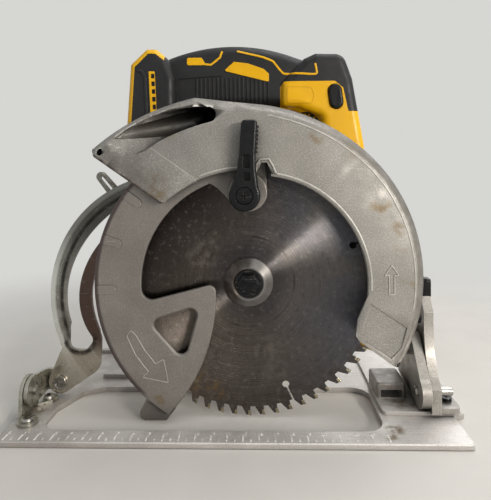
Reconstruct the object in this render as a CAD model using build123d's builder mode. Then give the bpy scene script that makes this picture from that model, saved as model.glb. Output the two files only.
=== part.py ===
from build123d import *
import os
from math import acos, asin, atan2, cos, degrees, hypot, pi, radians, sin, tan

os.makedirs("parts", exist_ok=True)

# Cordless circular saw standing on its shoe at zero cutting depth, in millimetres.
# +X is the front of the saw, +Y points from the blade to the motor, +Z is up.
# The origin is on the sole, straight below the arbor, in the middle of the blade.

# Blade and arbor
BLADE_D = 184.0
BLADE_PLATE = 1.2
BLADE_KERF = 1.8
TOOTH_COUNT = 60
ARBOR_Z = 94.0
SPINDLE_R = 8.0
CUT_DEPTH = 64.0

# Shoe
SHOE_REAR = -159.0
SHOE_FRONT = 144.0
SHOE_NEAR = -36.5
SHOE_FAR = 108.0
SHOE_THICK = 4.0
PAD_TOP = 6.5

# Bevel axis, along X
BEVEL_Z = 19.0
BEVEL_MAX = 45.0
BEVEL_PIN_R = 3.0

# Depth pivot, clamp bolt and slotted bracket
PIVOT = (112.0, 45.0)
CLAMP = (-82.1, 145.5)
BRACKET_RIVET = (-141.0, 15.0)
BRACKET_RATIO = 1.133
CLAMP_BOLT_R = 4.3
SLOT_WIDTH = 9.6
BRACKET_ARC = (-57.0, 78.0)
BRACKET_Y = 19.9
BRACKET_THICK = 2.6

# Guards
GUARD_FRONT_Y = -18.0
GUARD_BACK_Y = 16.0
GUARD_WALL = 4.0
DRUM_R = 109.0
LOWER_R = 103.0
LOWER_FRONT_Y = -10.0
LOWER_BACK_Y = 8.2
BOSS_R = 21.0
LEVER_R = 60.0

# Gears and motor
LOCK_ANGLE = 8.0
GEAR_TEETH = 42
PINION_TEETH = 9
GEAR_MODULE = 0.9
MOTOR_ANGLE = 68.0
PLATE_Y = 16.2
CASE_Y = 19.5
CASE_R = 23.5
CASE_WALL = 3.2
FLANGE_END_Y = 23.0
CASE_SCREW_R = 34.0
CASE_SCREW_ANGLES = (25.0, 100.0, 165.0)
CASE_END_Y = 46.0
MOTOR_R = 41.0
MOTOR_END_Y = 104.0
CAP_END_Y = 117.0

# Handle
HANDLE_MID = 50.0
GRIP_HALF = 17.0
FRONT_HALF = 22.0
REAR_HALF = 27.0
RUBBER_THICK = 1.6
SHELL_INSET = 4.5

GEAR_SPACING = GEAR_MODULE * (GEAR_TEETH + PINION_TEETH) / 2
MOTOR_X = GEAR_SPACING * cos(radians(MOTOR_ANGLE))
MOTOR_Z = ARBOR_Z + GEAR_SPACING * sin(radians(MOTOR_ANGLE))


def at_y(y):
    """The upright plane at depth y, with X to the right and Z up, facing the blade side."""
    return Plane.XZ.offset(-y)


def polar(r, angle):
    """A point around the arbor in the upright plane."""
    return (r * cos(radians(angle)), ARBOR_Z + r * sin(radians(angle)))


def turned(point, centre, angle):
    """A point of the upright plane turned about a centre, in degrees from X towards Z."""
    dx = point[0] - centre[0]
    dz = point[1] - centre[1]
    c = cos(radians(angle))
    s = sin(radians(angle))
    return (centre[0] + c * dx - s * dz, centre[1] + s * dx + c * dz)


# Angle through which the saw drops about its front pivot to reach the full cutting depth
pivot_reach = hypot(PIVOT[0], ARBOR_Z - PIVOT[1])
rise_at_zero = atan2(ARBOR_Z - PIVOT[1], PIVOT[0])
rise_at_full = asin((BLADE_D / 2 - CUT_DEPTH - PIVOT[1]) / pivot_reach)
DEPTH_MAX = degrees(rise_at_zero - rise_at_full)
print("depth travel in degrees", round(DEPTH_MAX, 3))
print("bracket travel in degrees", round(DEPTH_MAX * BRACKET_RATIO, 3))
print("motor axis", round(MOTOR_X, 3), round(MOTOR_Z, 3))


def clamp_in_bracket(angle):
    """Where the clamp bolt stands in the bracket when the saw has dropped by an angle."""
    return turned(turned(CLAMP, PIVOT, angle), BRACKET_RIVET, angle * BRACKET_RATIO)


def slot_edge(side):
    """Points along one edge of the bracket slot, beside the path of the clamp bolt."""
    points = []
    for step in range(9):
        angle = DEPTH_MAX * step / 8
        here = clamp_in_bracket(angle)
        ahead = clamp_in_bracket(angle + 0.01)
        length = hypot(ahead[0] - here[0], ahead[1] - here[1])
        nx = -(ahead[1] - here[1]) / length
        nz = (ahead[0] - here[0]) / length
        points.append((here[0] + side * nx * SLOT_WIDTH / 2, here[1] + side * nz * SLOT_WIDTH / 2))
    return points


def arc_slot(centre, radius, width, start, sweep):
    """Sketch of a slot that follows an arc and has round ends, angles in degrees."""
    half = width / 2

    def spot(r, angle, along=0.0):
        c = cos(radians(angle))
        s = sin(radians(angle))
        return (centre[0] + r * c - along * s, centre[1] + r * s + along * c)

    end = start + sweep
    with BuildSketch() as slot:
        with BuildLine():
            CenterArc(centre, radius + half, start, sweep)
            CenterArc(centre, radius - half, start, sweep)
            ThreePointArc(spot(radius + half, start), spot(radius, start, -half), spot(radius - half, start))
            ThreePointArc(spot(radius + half, end), spot(radius, end, half), spot(radius - half, end))
        make_face()
    return slot.sketch


# The cast shoe: a flat plate with the blade opening, a stepped front edge and a raised pad
with BuildPart() as shoe:
    with BuildSketch(Plane.XY):
        with BuildLine():
            Polyline(
                (SHOE_REAR, SHOE_NEAR),
                (136, SHOE_NEAR),
                (136, -4),
                (SHOE_FRONT, 0),
                (SHOE_FRONT, SHOE_FAR),
                (SHOE_REAR, SHOE_FAR),
                close=True,
            )
        make_face()
        with BuildLine():
            Polyline(
                (-129, -23),
                (86.5, -23),
                (86.5, 36),
                (-112, 36),
                (-127, 29),
                (-137, 6),
                (-137, -14),
                close=True,
            )
        make_face(mode=Mode.SUBTRACT)
    extrude(amount=SHOE_THICK)
    opening_corners = shoe.edges().filter_by(Axis.Z).filter_by_position(Axis.X, -138, 90)
    opening_corners = opening_corners.filter_by_position(Axis.Y, -30, 50)
    fillet(opening_corners.filter_by_position(Axis.X, 80, 90), 13)
    fillet(opening_corners.filter_by_position(Axis.X, -138, -100), 5)
    fillet(shoe.edges().filter_by(Axis.Z).filter_by_position(Axis.Y, 100, 110), 8)
    fillet(shoe.edges().filter_by(Axis.Z).filter_by_position(Axis.Y, -40, -30), 3)
    # raised pad under the front quadrant, and the bridge that the rip fence bar slides through
    with BuildSketch(Plane.XY.offset(SHOE_THICK)):
        with Locations(((89 + SHOE_FRONT - 2) / 2, (-3.6 + SHOE_FAR - 12) / 2)):
            RectangleRounded(SHOE_FRONT - 2 - 89, SHOE_FAR - 12 + 3.6, 3)
    extrude(amount=PAD_TOP - SHOE_THICK)
    with BuildSketch(Plane.XY.offset(PAD_TOP)):
        with Locations((99.5, 27)):
            RectangleRounded(21, 26, 2.5)
    extrude(amount=11)
    fillet(shoe.faces().sort_by(Axis.Z)[-1].edges(), 1.5)
    with BuildSketch(at_y(50)):
        with Locations((99.5, PAD_TOP + 3.6)):
            Rectangle(15, 5.2)
    extrude(amount=40, mode=Mode.SUBTRACT)
    # strengthening ribs along the motor side and across the rear
    with BuildSketch(Plane.XY.offset(SHOE_THICK)):
        with Locations((-35, SHOE_FAR - 5)):
            RectangleRounded(220, 5, 2)
        with Locations((-35, 53)):
            RectangleRounded(170, 4, 1.5)
    extrude(amount=3)
    near_edges = shoe.edges().filter_by(Axis.X).group_by(Axis.Y)[0]
    chamfer(near_edges, 0.6)
shoe.part.label = "shoe"
export_step(shoe.part, "parts/shoe.step")

# Front bevel quadrant: an upright plate on the shoe with the arc slot for the bevel clamp
STUD_R = 48.0
STUD_ANGLE = 25.0
LUG_R = 7.4
LUG_Y = (20.5, 31.5)
EAR_Y = (16.0, 36.0)
QUADRANT_X = 120.0
QUADRANT_THICK = 6.5
clamp_slot = arc_slot((0, BEVEL_Z), STUD_R, 8.6, STUD_ANGLE - 1, BEVEL_MAX + 2)
with BuildPart() as bevel_quadrant:
    with BuildSketch(Plane.YZ.offset(QUADRANT_X)):
        with BuildLine():
            up = Line((-7.5, PAD_TOP), (-7.5, BEVEL_Z + 4))
            lean = Spline(up @ 1, (1.5, BEVEL_Z + 17), (6.3, BEVEL_Z + 33), (6.8, BEVEL_Z + 51))
            crown = Line(lean @ 1, (13, BEVEL_Z + 60.6))
            rim = RadiusArc(crown @ 1, (58, BEVEL_Z + 20), 62)
            Polyline(rim @ 1, (58, PAD_TOP), (-7.5, PAD_TOP))
        make_face()
        add(clamp_slot, mode=Mode.SUBTRACT)
        with Locations((0, BEVEL_Z)):
            Circle(BEVEL_PIN_R, mode=Mode.SUBTRACT)
    extrude(amount=QUADRANT_THICK)
    with BuildSketch(Plane.XY.offset(PAD_TOP)):
        with Locations((QUADRANT_X + 10, 26)):
            Rectangle(20, 64)
    extrude(amount=3.5)
    fillet(bevel_quadrant.edges().filter_by(Axis.Z).filter_by_position(Axis.X, 139, 141), 4)
    with BuildSketch(Plane.XY.offset(PAD_TOP)):
        with Locations((134, 6), (134, 46)):
            Circle(2.3)
    extrude(amount=5, mode=Mode.SUBTRACT)
bevel_quadrant.part.label = "bevel_quadrant"
export_step(bevel_quadrant.part, "parts/bevel_quadrant.step")

# Two screws that hold the quadrant foot on the shoe pad
with BuildPart() as quadrant_screws:
    with BuildSketch(Plane.XY.offset(PAD_TOP)):
        with Locations((134, 6), (134, 46)):
            Circle(2.2)
    extrude(amount=3.5)
    with BuildSketch(Plane.XY.offset(PAD_TOP + 3.5)):
        with Locations((134, 6), (134, 46)):
            Circle(4.0)
            Rectangle(4.6, 1.1, mode=Mode.SUBTRACT)
            Rectangle(1.1, 4.6, mode=Mode.SUBTRACT)
    extrude(amount=2.4)
quadrant_screws.part.label = "quadrant_screws"
export_step(quadrant_screws.part, "parts/quadrant_screws.step")

# Front bevel pin: pressed into the quadrant, the trunnion turns on it
with BuildPart() as bevel_pin:
    with BuildSketch(Plane.YZ.offset(111)):
        with Locations((0, BEVEL_Z)):
            Circle(BEVEL_PIN_R)
    extrude(amount=25)
    chamfer(bevel_pin.edges().filter_by(GeomType.CIRCLE), 0.5)
bevel_pin.part.label = "bevel_pin"
export_step(bevel_pin.part, "parts/bevel_pin.step")

# Front trunnion: the plate that tilts against the quadrant, with two ears for the depth pivot
TRUNNION_X = 113.0
TRUNNION_THICK = 6.4
stud_y = STUD_R * cos(radians(STUD_ANGLE))
stud_z = BEVEL_Z + STUD_R * sin(radians(STUD_ANGLE))
with BuildPart() as front_trunnion:
    with BuildSketch(Plane.YZ.offset(TRUNNION_X)):
        with Locations((0, BEVEL_Z)):
            Circle(11)
        with BuildLine():
            Polyline((-8, 25), (14, 53), (38, 53), (52, 46), (52, 30), (44, 14), (8, 10), close=True)
        make_face()
        with Locations((0, BEVEL_Z)):
            Circle(BEVEL_PIN_R + 0.05, mode=Mode.SUBTRACT)
        with Locations((stud_y, stud_z)):
            Circle(3.5, mode=Mode.SUBTRACT)
    extrude(amount=TRUNNION_THICK)
    # room for the lug that turns between the ears
    with BuildSketch(at_y(LUG_Y[1] + 0.5)):
        with Locations(PIVOT):
            Rectangle(30, 2 * LUG_R + 2)
    extrude(amount=LUG_Y[1] - LUG_Y[0] + 1, mode=Mode.SUBTRACT)
    motor_ear = (EAR_Y[1], EAR_Y[1] - LUG_Y[1] - 0.5)
    blade_ear = (LUG_Y[0] - 0.5, LUG_Y[0] - 0.5 - EAR_Y[0])
    for ear_end, ear_width in (motor_ear, blade_ear):
        with BuildSketch(at_y(ear_end)):
            with Locations(PIVOT):
                Circle(LUG_R)
            with Locations((PIVOT[0] + 4, PIVOT[1])):
                Rectangle(6, 2 * LUG_R)
        extrude(amount=ear_width)
    with BuildSketch(at_y(EAR_Y[1] + 12)):
        with Locations(PIVOT):
            Circle(4)
    extrude(amount=EAR_Y[1] - EAR_Y[0] + 13, mode=Mode.SUBTRACT)
    # seat for the head of the pivot pin
    with BuildSketch(at_y(EAR_Y[1] + 2)):
        with Locations(PIVOT):
            Circle(6)
    extrude(amount=2, mode=Mode.SUBTRACT)
front_trunnion.part.label = "front_trunnion"
export_step(front_trunnion.part, "parts/front_trunnion.step")

# Depth pivot pin through the two ears and the lug of the gear case
with BuildPart() as depth_pivot_pin:
    with BuildSketch(at_y(EAR_Y[1])):
        with Locations(PIVOT):
            Circle(4)
    extrude(amount=EAR_Y[1] - EAR_Y[0] + 1)
    with BuildSketch(at_y(EAR_Y[1] + 1.8)):
        with Locations(PIVOT):
            Circle(5.8)
    extrude(amount=1.8)
depth_pivot_pin.part.label = "depth_pivot_pin"
export_step(depth_pivot_pin.part, "parts/depth_pivot_pin.step")

# Bevel clamp stud, fixed in the trunnion and reaching through the arc slot
with BuildPart() as bevel_stud:
    with BuildSketch(Plane.YZ.offset(TRUNNION_X + 1)):
        with Locations((stud_y, stud_z)):
            Circle(3.5)
    extrude(amount=19)
bevel_stud.part.label = "bevel_stud"
export_step(bevel_stud.part, "parts/bevel_stud.step")

# Washer between the quadrant and the bevel lever
with BuildPart() as bevel_washer:
    with BuildSketch(Plane.YZ.offset(QUADRANT_X + QUADRANT_THICK + 0.3)):
        with Locations((stud_y, stud_z)):
            Circle(8)
            Circle(3.55, mode=Mode.SUBTRACT)
    extrude(amount=1.2)
bevel_washer.part.label = "bevel_washer"
export_step(bevel_washer.part, "parts/bevel_washer.step")

# Black bevel lever: a domed hub on the stud with an upright finger arm
LEVER_X = QUADRANT_X + QUADRANT_THICK + 1.7
with BuildPart() as bevel_lever:
    with BuildSketch(Plane.YZ.offset(LEVER_X)):
        with Locations((stud_y, stud_z)):
            Circle(9.5)
    extrude(amount=8.5)
    fillet(bevel_lever.faces().sort_by(Axis.X)[-1].edges(), 3.5)
    with BuildSketch(Plane.YZ.offset(LEVER_X)):
        with BuildLine():
            Polyline(
                (stud_y - 7, stud_z),
                (stud_y - 5, stud_z + 30),
                (stud_y - 6.5, stud_z + 47),
                (stud_y + 6.5, stud_z + 47),
                (stud_y + 5, stud_z + 30),
                (stud_y + 7, stud_z),
                close=True,
            )
        make_face()
    extrude(amount=4.5)
    with BuildSketch(Plane.YZ.offset(LEVER_X + 4.5)):
        with Locations((stud_y, stud_z + 39)):
            RectangleRounded(10, 14, 2)
    extrude(amount=3.5)
    with BuildSketch(Plane.YZ.offset(LEVER_X)):
        with Locations((stud_y, stud_z)):
            Circle(3.55)
    extrude(amount=5.2, mode=Mode.SUBTRACT)
bevel_lever.part.label = "bevel_lever"
export_step(bevel_lever.part, "parts/bevel_lever.step")

# Rear bevel bracket: folded sheet riveted on the rear of the shoe
with BuildPart() as rear_bracket:
    with BuildSketch(Plane.YZ.offset(-156)):
        with BuildSketch(mode=Mode.PRIVATE) as upright:
            with Locations((0, BEVEL_Z)):
                Circle(10.5)
            with Locations((0, SHOE_THICK + 1)):
                Rectangle(24, 2)
            make_hull()
        add(upright.sketch)
        with Locations((0, BEVEL_Z)):
            Circle(BEVEL_PIN_R, mode=Mode.SUBTRACT)
    extrude(amount=2.5)
    for side in (-1, 1):
        with BuildSketch(Plane.XY.offset(SHOE_THICK)):
            with Locations((-147.5, 15.5 * side)):
                Circle(6.4)
            with Locations((-152.5, 9 * side)):
                Circle(3.5)
            make_hull()
        extrude(amount=2)
    with BuildSketch(Plane.XY.offset(SHOE_THICK)):
        with Locations((-147.5, -15.5), (-147.5, 15.5)):
            Circle(2.5)
    extrude(amount=2, mode=Mode.SUBTRACT)
rear_bracket.part.label = "rear_bracket"
export_step(rear_bracket.part, "parts/rear_bracket.step")

# Two rivets that hold the rear bracket
with BuildPart() as rear_rivets:
    with BuildSketch(Plane.XY.offset(SHOE_THICK)):
        with Locations((-147.5, -15.5), (-147.5, 15.5)):
            Circle(2.45)
    extrude(amount=2)
    with BuildSketch(Plane.XY.offset(SHOE_THICK + 2)):
        with Locations((-147.5, -15.5), (-147.5, 15.5)):
            Circle(3.9)
    extrude(amount=2)
    fillet(rear_rivets.edges().filter_by(GeomType.CIRCLE).group_by(Axis.Z)[-1], 1.4)
rear_rivets.part.label = "rear_rivets"
export_step(rear_rivets.part, "parts/rear_rivets.step")

# Rear bevel rivet, the rear half of the bevel axis
with BuildPart() as rear_bevel_rivet:
    with BuildSketch(Plane.YZ.offset(-156.5)):
        with Locations((0, BEVEL_Z)):
            Circle(BEVEL_PIN_R)
    extrude(amount=8.5)
    with BuildSketch(Plane.YZ.offset(-158.5)):
        with Locations((0, BEVEL_Z)):
            Circle(5.5)
    extrude(amount=2)
    fillet(rear_bevel_rivet.edges().filter_by(GeomType.CIRCLE).group_by(Axis.X)[0], 1.3)
rear_bevel_rivet.part.label = "rear_bevel_rivet"
export_step(rear_bevel_rivet.part, "parts/rear_bevel_rivet.step")

# Rear link: folded sheet that tilts on the rear rivet and carries the depth bracket in front of its leg
LINK_END_Y = BRACKET_Y + BRACKET_THICK + 2.9
with BuildPart() as rear_link:
    with BuildSketch(Plane.YZ.offset(-153)):
        with Locations((0, BEVEL_Z)):
            Circle(10)
        with BuildLine():
            Polyline((0, 9), (LINK_END_Y, 9), (LINK_END_Y, 24), (0, 29), close=True)
        make_face()
        with Locations((0, BEVEL_Z)):
            Circle(BEVEL_PIN_R + 0.05, mode=Mode.SUBTRACT)
    extrude(amount=2.5)
    with BuildSketch(at_y(LINK_END_Y)):
        with BuildSketch(mode=Mode.PRIVATE) as leg:
            with Locations(BRACKET_RIVET):
                Circle(8)
            with Locations((-152, 16.5)):
                Rectangle(2, 15)
            make_hull()
        add(leg.sketch)
        with Locations(BRACKET_RIVET):
            Circle(3, mode=Mode.SUBTRACT)
    extrude(amount=2.5)
rear_link.part.label = "rear_link"
export_step(rear_link.part, "parts/rear_link.step")

# Rivet on which the depth bracket swings
with BuildPart() as bracket_rivet:
    with BuildSketch(at_y(LINK_END_Y)):
        with Locations(BRACKET_RIVET):
            Circle(3)
    extrude(amount=LINK_END_Y - BRACKET_Y + 0.3)
    with BuildSketch(at_y(BRACKET_Y - 0.3)):
        with Locations(BRACKET_RIVET):
            Circle(5.2)
    extrude(amount=1.8)
    # rolled rim of the hollow head
    with BuildSketch(at_y(BRACKET_Y - 1.1)):
        with Locations(BRACKET_RIVET):
            Circle(3.4)
            Circle(1.6, mode=Mode.SUBTRACT)
    extrude(amount=1.5, mode=Mode.SUBTRACT)
bracket_rivet.part.label = "bracket_rivet"
export_step(bracket_rivet.part, "parts/bracket_rivet.step")

# Depth bracket: a curved steel plate with the slot that the clamp bolt runs in
SLOT_FOOT = [
    (-130, 68),
    (-133, 56),
    (-133.4, 44),
    (-132, 40.8),
    (-129.5, 39.3),
    (-121, 39),
    (-117.5, 43),
    (-119, 52),
    (-126, 68),
]
slot_start = clamp_in_bracket(0)
slot_end = clamp_in_bracket(DEPTH_MAX)
start_angle = degrees(atan2(slot_start[1] - BRACKET_ARC[1], slot_start[0] - BRACKET_ARC[0]))
end_angle = 360 + degrees(atan2(slot_end[1] - BRACKET_ARC[1], slot_end[0] - BRACKET_ARC[0]))
bracket_band = arc_slot(BRACKET_ARC, 74.5, 31, start_angle, end_angle - start_angle - 4)
# Metal taken off where the outer edge of the bracket is rolled over
BRACKET_OUT_R = 74.5 + 31 / 2
roll_plane = Plane(
    origin=(BRACKET_ARC[0], BRACKET_Y, BRACKET_ARC[1]),
    x_dir=(cos(radians(start_angle)), 0, sin(radians(start_angle))),
    z_dir=(-sin(radians(start_angle)), 0, cos(radians(start_angle))),
)
with BuildPart() as bracket_roll:
    with BuildSketch(roll_plane):
        with BuildLine():
            roll = ThreePointArc((BRACKET_OUT_R - 6, 0), (BRACKET_OUT_R - 2.4, -0.5), (BRACKET_OUT_R + 0.3, -1.8))
            Polyline(roll @ 1, (BRACKET_OUT_R + 0.3, 1), (BRACKET_OUT_R - 6, 1), roll @ 0)
        make_face()
    roll_axis = Axis((BRACKET_ARC[0], BRACKET_Y, BRACKET_ARC[1]), (0, -1, 0))
    revolve(axis=roll_axis, revolution_arc=end_angle - start_angle - 4)
with BuildPart() as depth_bracket:
    with BuildSketch(at_y(BRACKET_Y + BRACKET_THICK)):
        add(bracket_band)
        with BuildSketch(mode=Mode.PRIVATE) as foot:
            with Locations(BRACKET_RIVET):
                Circle(8.5)
            with Locations((-122.5, 46)):
                Circle(13)
            with Locations((-121.5, 31)):
                Circle(11)
            make_hull()
        add(foot.sketch)
        with Locations(BRACKET_RIVET):
            Circle(3.05, mode=Mode.SUBTRACT)
        left_edge = slot_edge(1)
        right_edge = slot_edge(-1)
        with BuildLine():
            first = Spline(*left_edge)
            second = Spline(*right_edge)
            ThreePointArc(
                left_edge[-1],
                (
                    slot_end[0] + (left_edge[-1][1] - right_edge[-1][1]) / 2,
                    slot_end[1] - (left_edge[-1][0] - right_edge[-1][0]) / 2,
                ),
                right_edge[-1],
            )
            ThreePointArc(
                left_edge[0],
                (
                    slot_start[0] - (left_edge[0][1] - right_edge[0][1]) / 2,
                    slot_start[1] + (left_edge[0][0] - right_edge[0][0]) / 2,
                ),
                right_edge[0],
            )
        make_face(mode=Mode.SUBTRACT)
        # wider foot of the slot
        with BuildLine():
            Polyline(*SLOT_FOOT, close=True)
        make_face(mode=Mode.SUBTRACT)
    extrude(amount=BRACKET_THICK)
    add(bracket_roll.part, mode=Mode.SUBTRACT)
depth_bracket.part.label = "depth_bracket"
export_step(depth_bracket.part, "parts/depth_bracket.step")

# Clamp bolt of the depth setting: its head lies in the guard, its shank runs in the slot
with BuildPart() as clamp_bolt:
    with BuildSketch(at_y(31)):
        with Locations(CLAMP):
            Circle(CLAMP_BOLT_R)
    extrude(amount=31 - 12.8)
    with BuildSketch(at_y(12.8)):
        with Locations(CLAMP):
            Circle(8)
    extrude(amount=2.2)
clamp_bolt.part.label = "clamp_bolt"
export_step(clamp_bolt.part, "parts/clamp_bolt.step")

# Steel washer between the bracket and the depth lever
with BuildPart() as clamp_washer:
    with BuildSketch(at_y(BRACKET_Y + BRACKET_THICK + 2)):
        with Locations(CLAMP):
            Circle(9.5)
            Circle(CLAMP_BOLT_R + 0.05, mode=Mode.SUBTRACT)
    extrude(amount=1.6)
clamp_washer.part.label = "clamp_washer"
export_step(clamp_washer.part, "parts/clamp_washer.step")

# Depth lever: a steel strip on the clamp bolt whose end is bent up into a slotted finger loop
with BuildPart() as depth_lever:
    with BuildSketch(at_y(30)):
        with BuildSketch(mode=Mode.PRIVATE) as arm:
            with Locations(CLAMP):
                Circle(9)
            with Locations((CLAMP[0] - 17, CLAMP[1] + 7.5)):
                Circle(4.4)
            make_hull()
        with BuildSketch(mode=Mode.PRIVATE) as loop:
            with Locations((CLAMP[0] - 17, CLAMP[1] + 7.5)):
                Circle(4.4)
            with Locations((CLAMP[0] - 27.6, CLAMP[1] + 20.7)):
                Circle(3.6)
            make_hull()
        with BuildSketch(mode=Mode.PRIVATE) as loop_slot:
            with Locations((CLAMP[0] - 19.2, CLAMP[1] + 10.2), (CLAMP[0] - 26.8, CLAMP[1] + 19.7)):
                Circle(1.25)
            make_hull()
        add(arm.sketch)
        add(loop.sketch)
        add(loop_slot.sketch, mode=Mode.SUBTRACT)
        with Locations(CLAMP):
            Circle(CLAMP_BOLT_R + 0.05, mode=Mode.SUBTRACT)
    extrude(amount=4)
    lever_face = depth_lever.faces().sort_by(Axis.Y)[0]
    chamfer(lever_face.outer_wire().edges(), 0.9)
depth_lever.part.label = "depth_lever"
export_step(depth_lever.part, "parts/depth_lever.step")

case_screw_places = [polar(CASE_SCREW_R, angle) for angle in CASE_SCREW_ANGLES]

# Upper guard: a cast drum with a window for the blade bolt and a dust chute at the rear
GUARD_END = (96.9, 39.9)
GUARD_TOE = (70.7, 59.5)
CHUTE_TIP = (-102.0, 184.5)
CHUTE_HEEL = (-99.8, 180.5)
GUARD_HEEL = (-52.8, 147.0)
DUST_SCREW = (-95.2, 182.8)
DUST_SCREW_R = 2.3

# Space of the dust chute: a shallow ramp below, a cone that runs deep under the roof, and its throat
CHUTE_BACK_Y = GUARD_BACK_Y - 5
RAMP = [(-95, -20), (-90.5, -15.8), (-60, -12), (-40, -9), (-14, -2), (-14, -20)]
CONE_ENDS = [((-92, -18, 192), 2.0), ((-12, 0, 206), 11.0)]
with BuildPart() as chute_ramp:
    with BuildSketch(Plane.XY.offset(170)):
        with BuildLine():
            Polyline(*RAMP, close=True)
        make_face()
    extrude(amount=45)
cone_axis = Vector(*CONE_ENDS[1][0]) - Vector(*CONE_ENDS[0][0])
with BuildPart() as chute_cone:
    for end, end_r in CONE_ENDS:
        with BuildSketch(Plane(origin=end, z_dir=cone_axis)):
            Circle(end_r)
    loft()
with BuildPart() as chute_space:
    with BuildSketch(at_y(CHUTE_BACK_Y)):
        with BuildLine():
            lower_end = ThreePointArc((-90, 188.2), (-84.8, 183), (-78.5, 178.8))
            step = Line(lower_end @ 1, (-70, 181))
            lower = ThreePointArc(step @ 1, (-48, 192.8), (-22, 201.2))
            front_end = ThreePointArc(lower @ 1, (-19, 205.8), (-25, 210.8))
            ThreePointArc(front_end @ 1, (-62.6, 205), (-90, 188.2))
        make_face()
    extrude(amount=CHUTE_BACK_Y - GUARD_FRONT_Y + 2)
    add(chute_ramp.part + chute_cone.part, mode=Mode.INTERSECT)
    with BuildSketch(at_y(8)):
        with BuildLine():
            Polyline((-34, 195), (-20, 198), (-20, 206), (-34, 202), close=True)
        make_face()
    extrude(amount=16)
# Space of the window in the front wall, with a round corner at the heel of the guard
with BuildPart() as guard_window:
    with BuildSketch(at_y(GUARD_FRONT_Y + GUARD_WALL + 1)):
        with BuildLine():
            left = ThreePointArc((-46.4, 154.7), (-23.4, 166.3), (7.6, 168.9))
            notch_side = Line(left @ 1, (8.4, 166.2))
            right = ThreePointArc(notch_side @ 1, (50, 150.9), (76, 87.3))
            toe = Polyline(right @ 1, (70, 73.5), (68.6, 63), GUARD_TOE, (60, 20))
            side = Polyline(toe @ 1, (-70, 20), (-64, 149.5), (-57.0, 149.9))
            heel = ThreePointArc(side @ 1, (-54.86, 149.1), (-52.7, 149.7))
            Line(heel @ 1, left @ 0)
        make_face()
    extrude(amount=GUARD_WALL + 3)

# Raised field between the chute and the window, which fades out towards the chute tip
FIELD_HIGH = 1.2
field_end = Vector(*CHUTE_HEEL) + (Vector(*GUARD_HEEL) - Vector(*CHUTE_HEEL)) * 0.11
with BuildPart() as guard_field:
    with BuildSketch(at_y(GUARD_FRONT_Y + 1)):
        with BuildLine():
            Polyline(
                (-60.8, 185),
                (-33.2, 165.2),
                (-26, 156),
                GUARD_HEEL,
                (field_end.X, field_end.Y),
                (-90.5, 183),
                (-86, 186.5),
                (-70, 183.5),
                close=True,
            )
        make_face()
    extrude(amount=FIELD_HIGH + 1)
    with BuildSketch(Plane.XY.offset(140)):
        with BuildLine():
            Polyline(
                (-96, GUARD_FRONT_Y + 1),
                (-96, GUARD_FRONT_Y + 0.3),
                (-82, GUARD_FRONT_Y - FIELD_HIGH),
                (-20, GUARD_FRONT_Y - FIELD_HIGH),
                (-20, GUARD_FRONT_Y + 1),
                close=True,
            )
        make_face()
    extrude(amount=60, mode=Mode.INTERSECT)
    add(guard_window.part, mode=Mode.SUBTRACT)
    field_edges = guard_field.faces().sort_by(Axis.Y)[0].edges()
    chamfer(field_edges.filter_by(lambda e: e.center().X > -60 or e.center().Z > 180), 1.0)
    field_edges = guard_field.faces().sort_by(Axis.Y)[0].edges()
    chamfer(field_edges.filter_by_position(Axis.X, -73, -67).filter_by_position(Axis.Z, 157, 162), 0.9)
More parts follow.
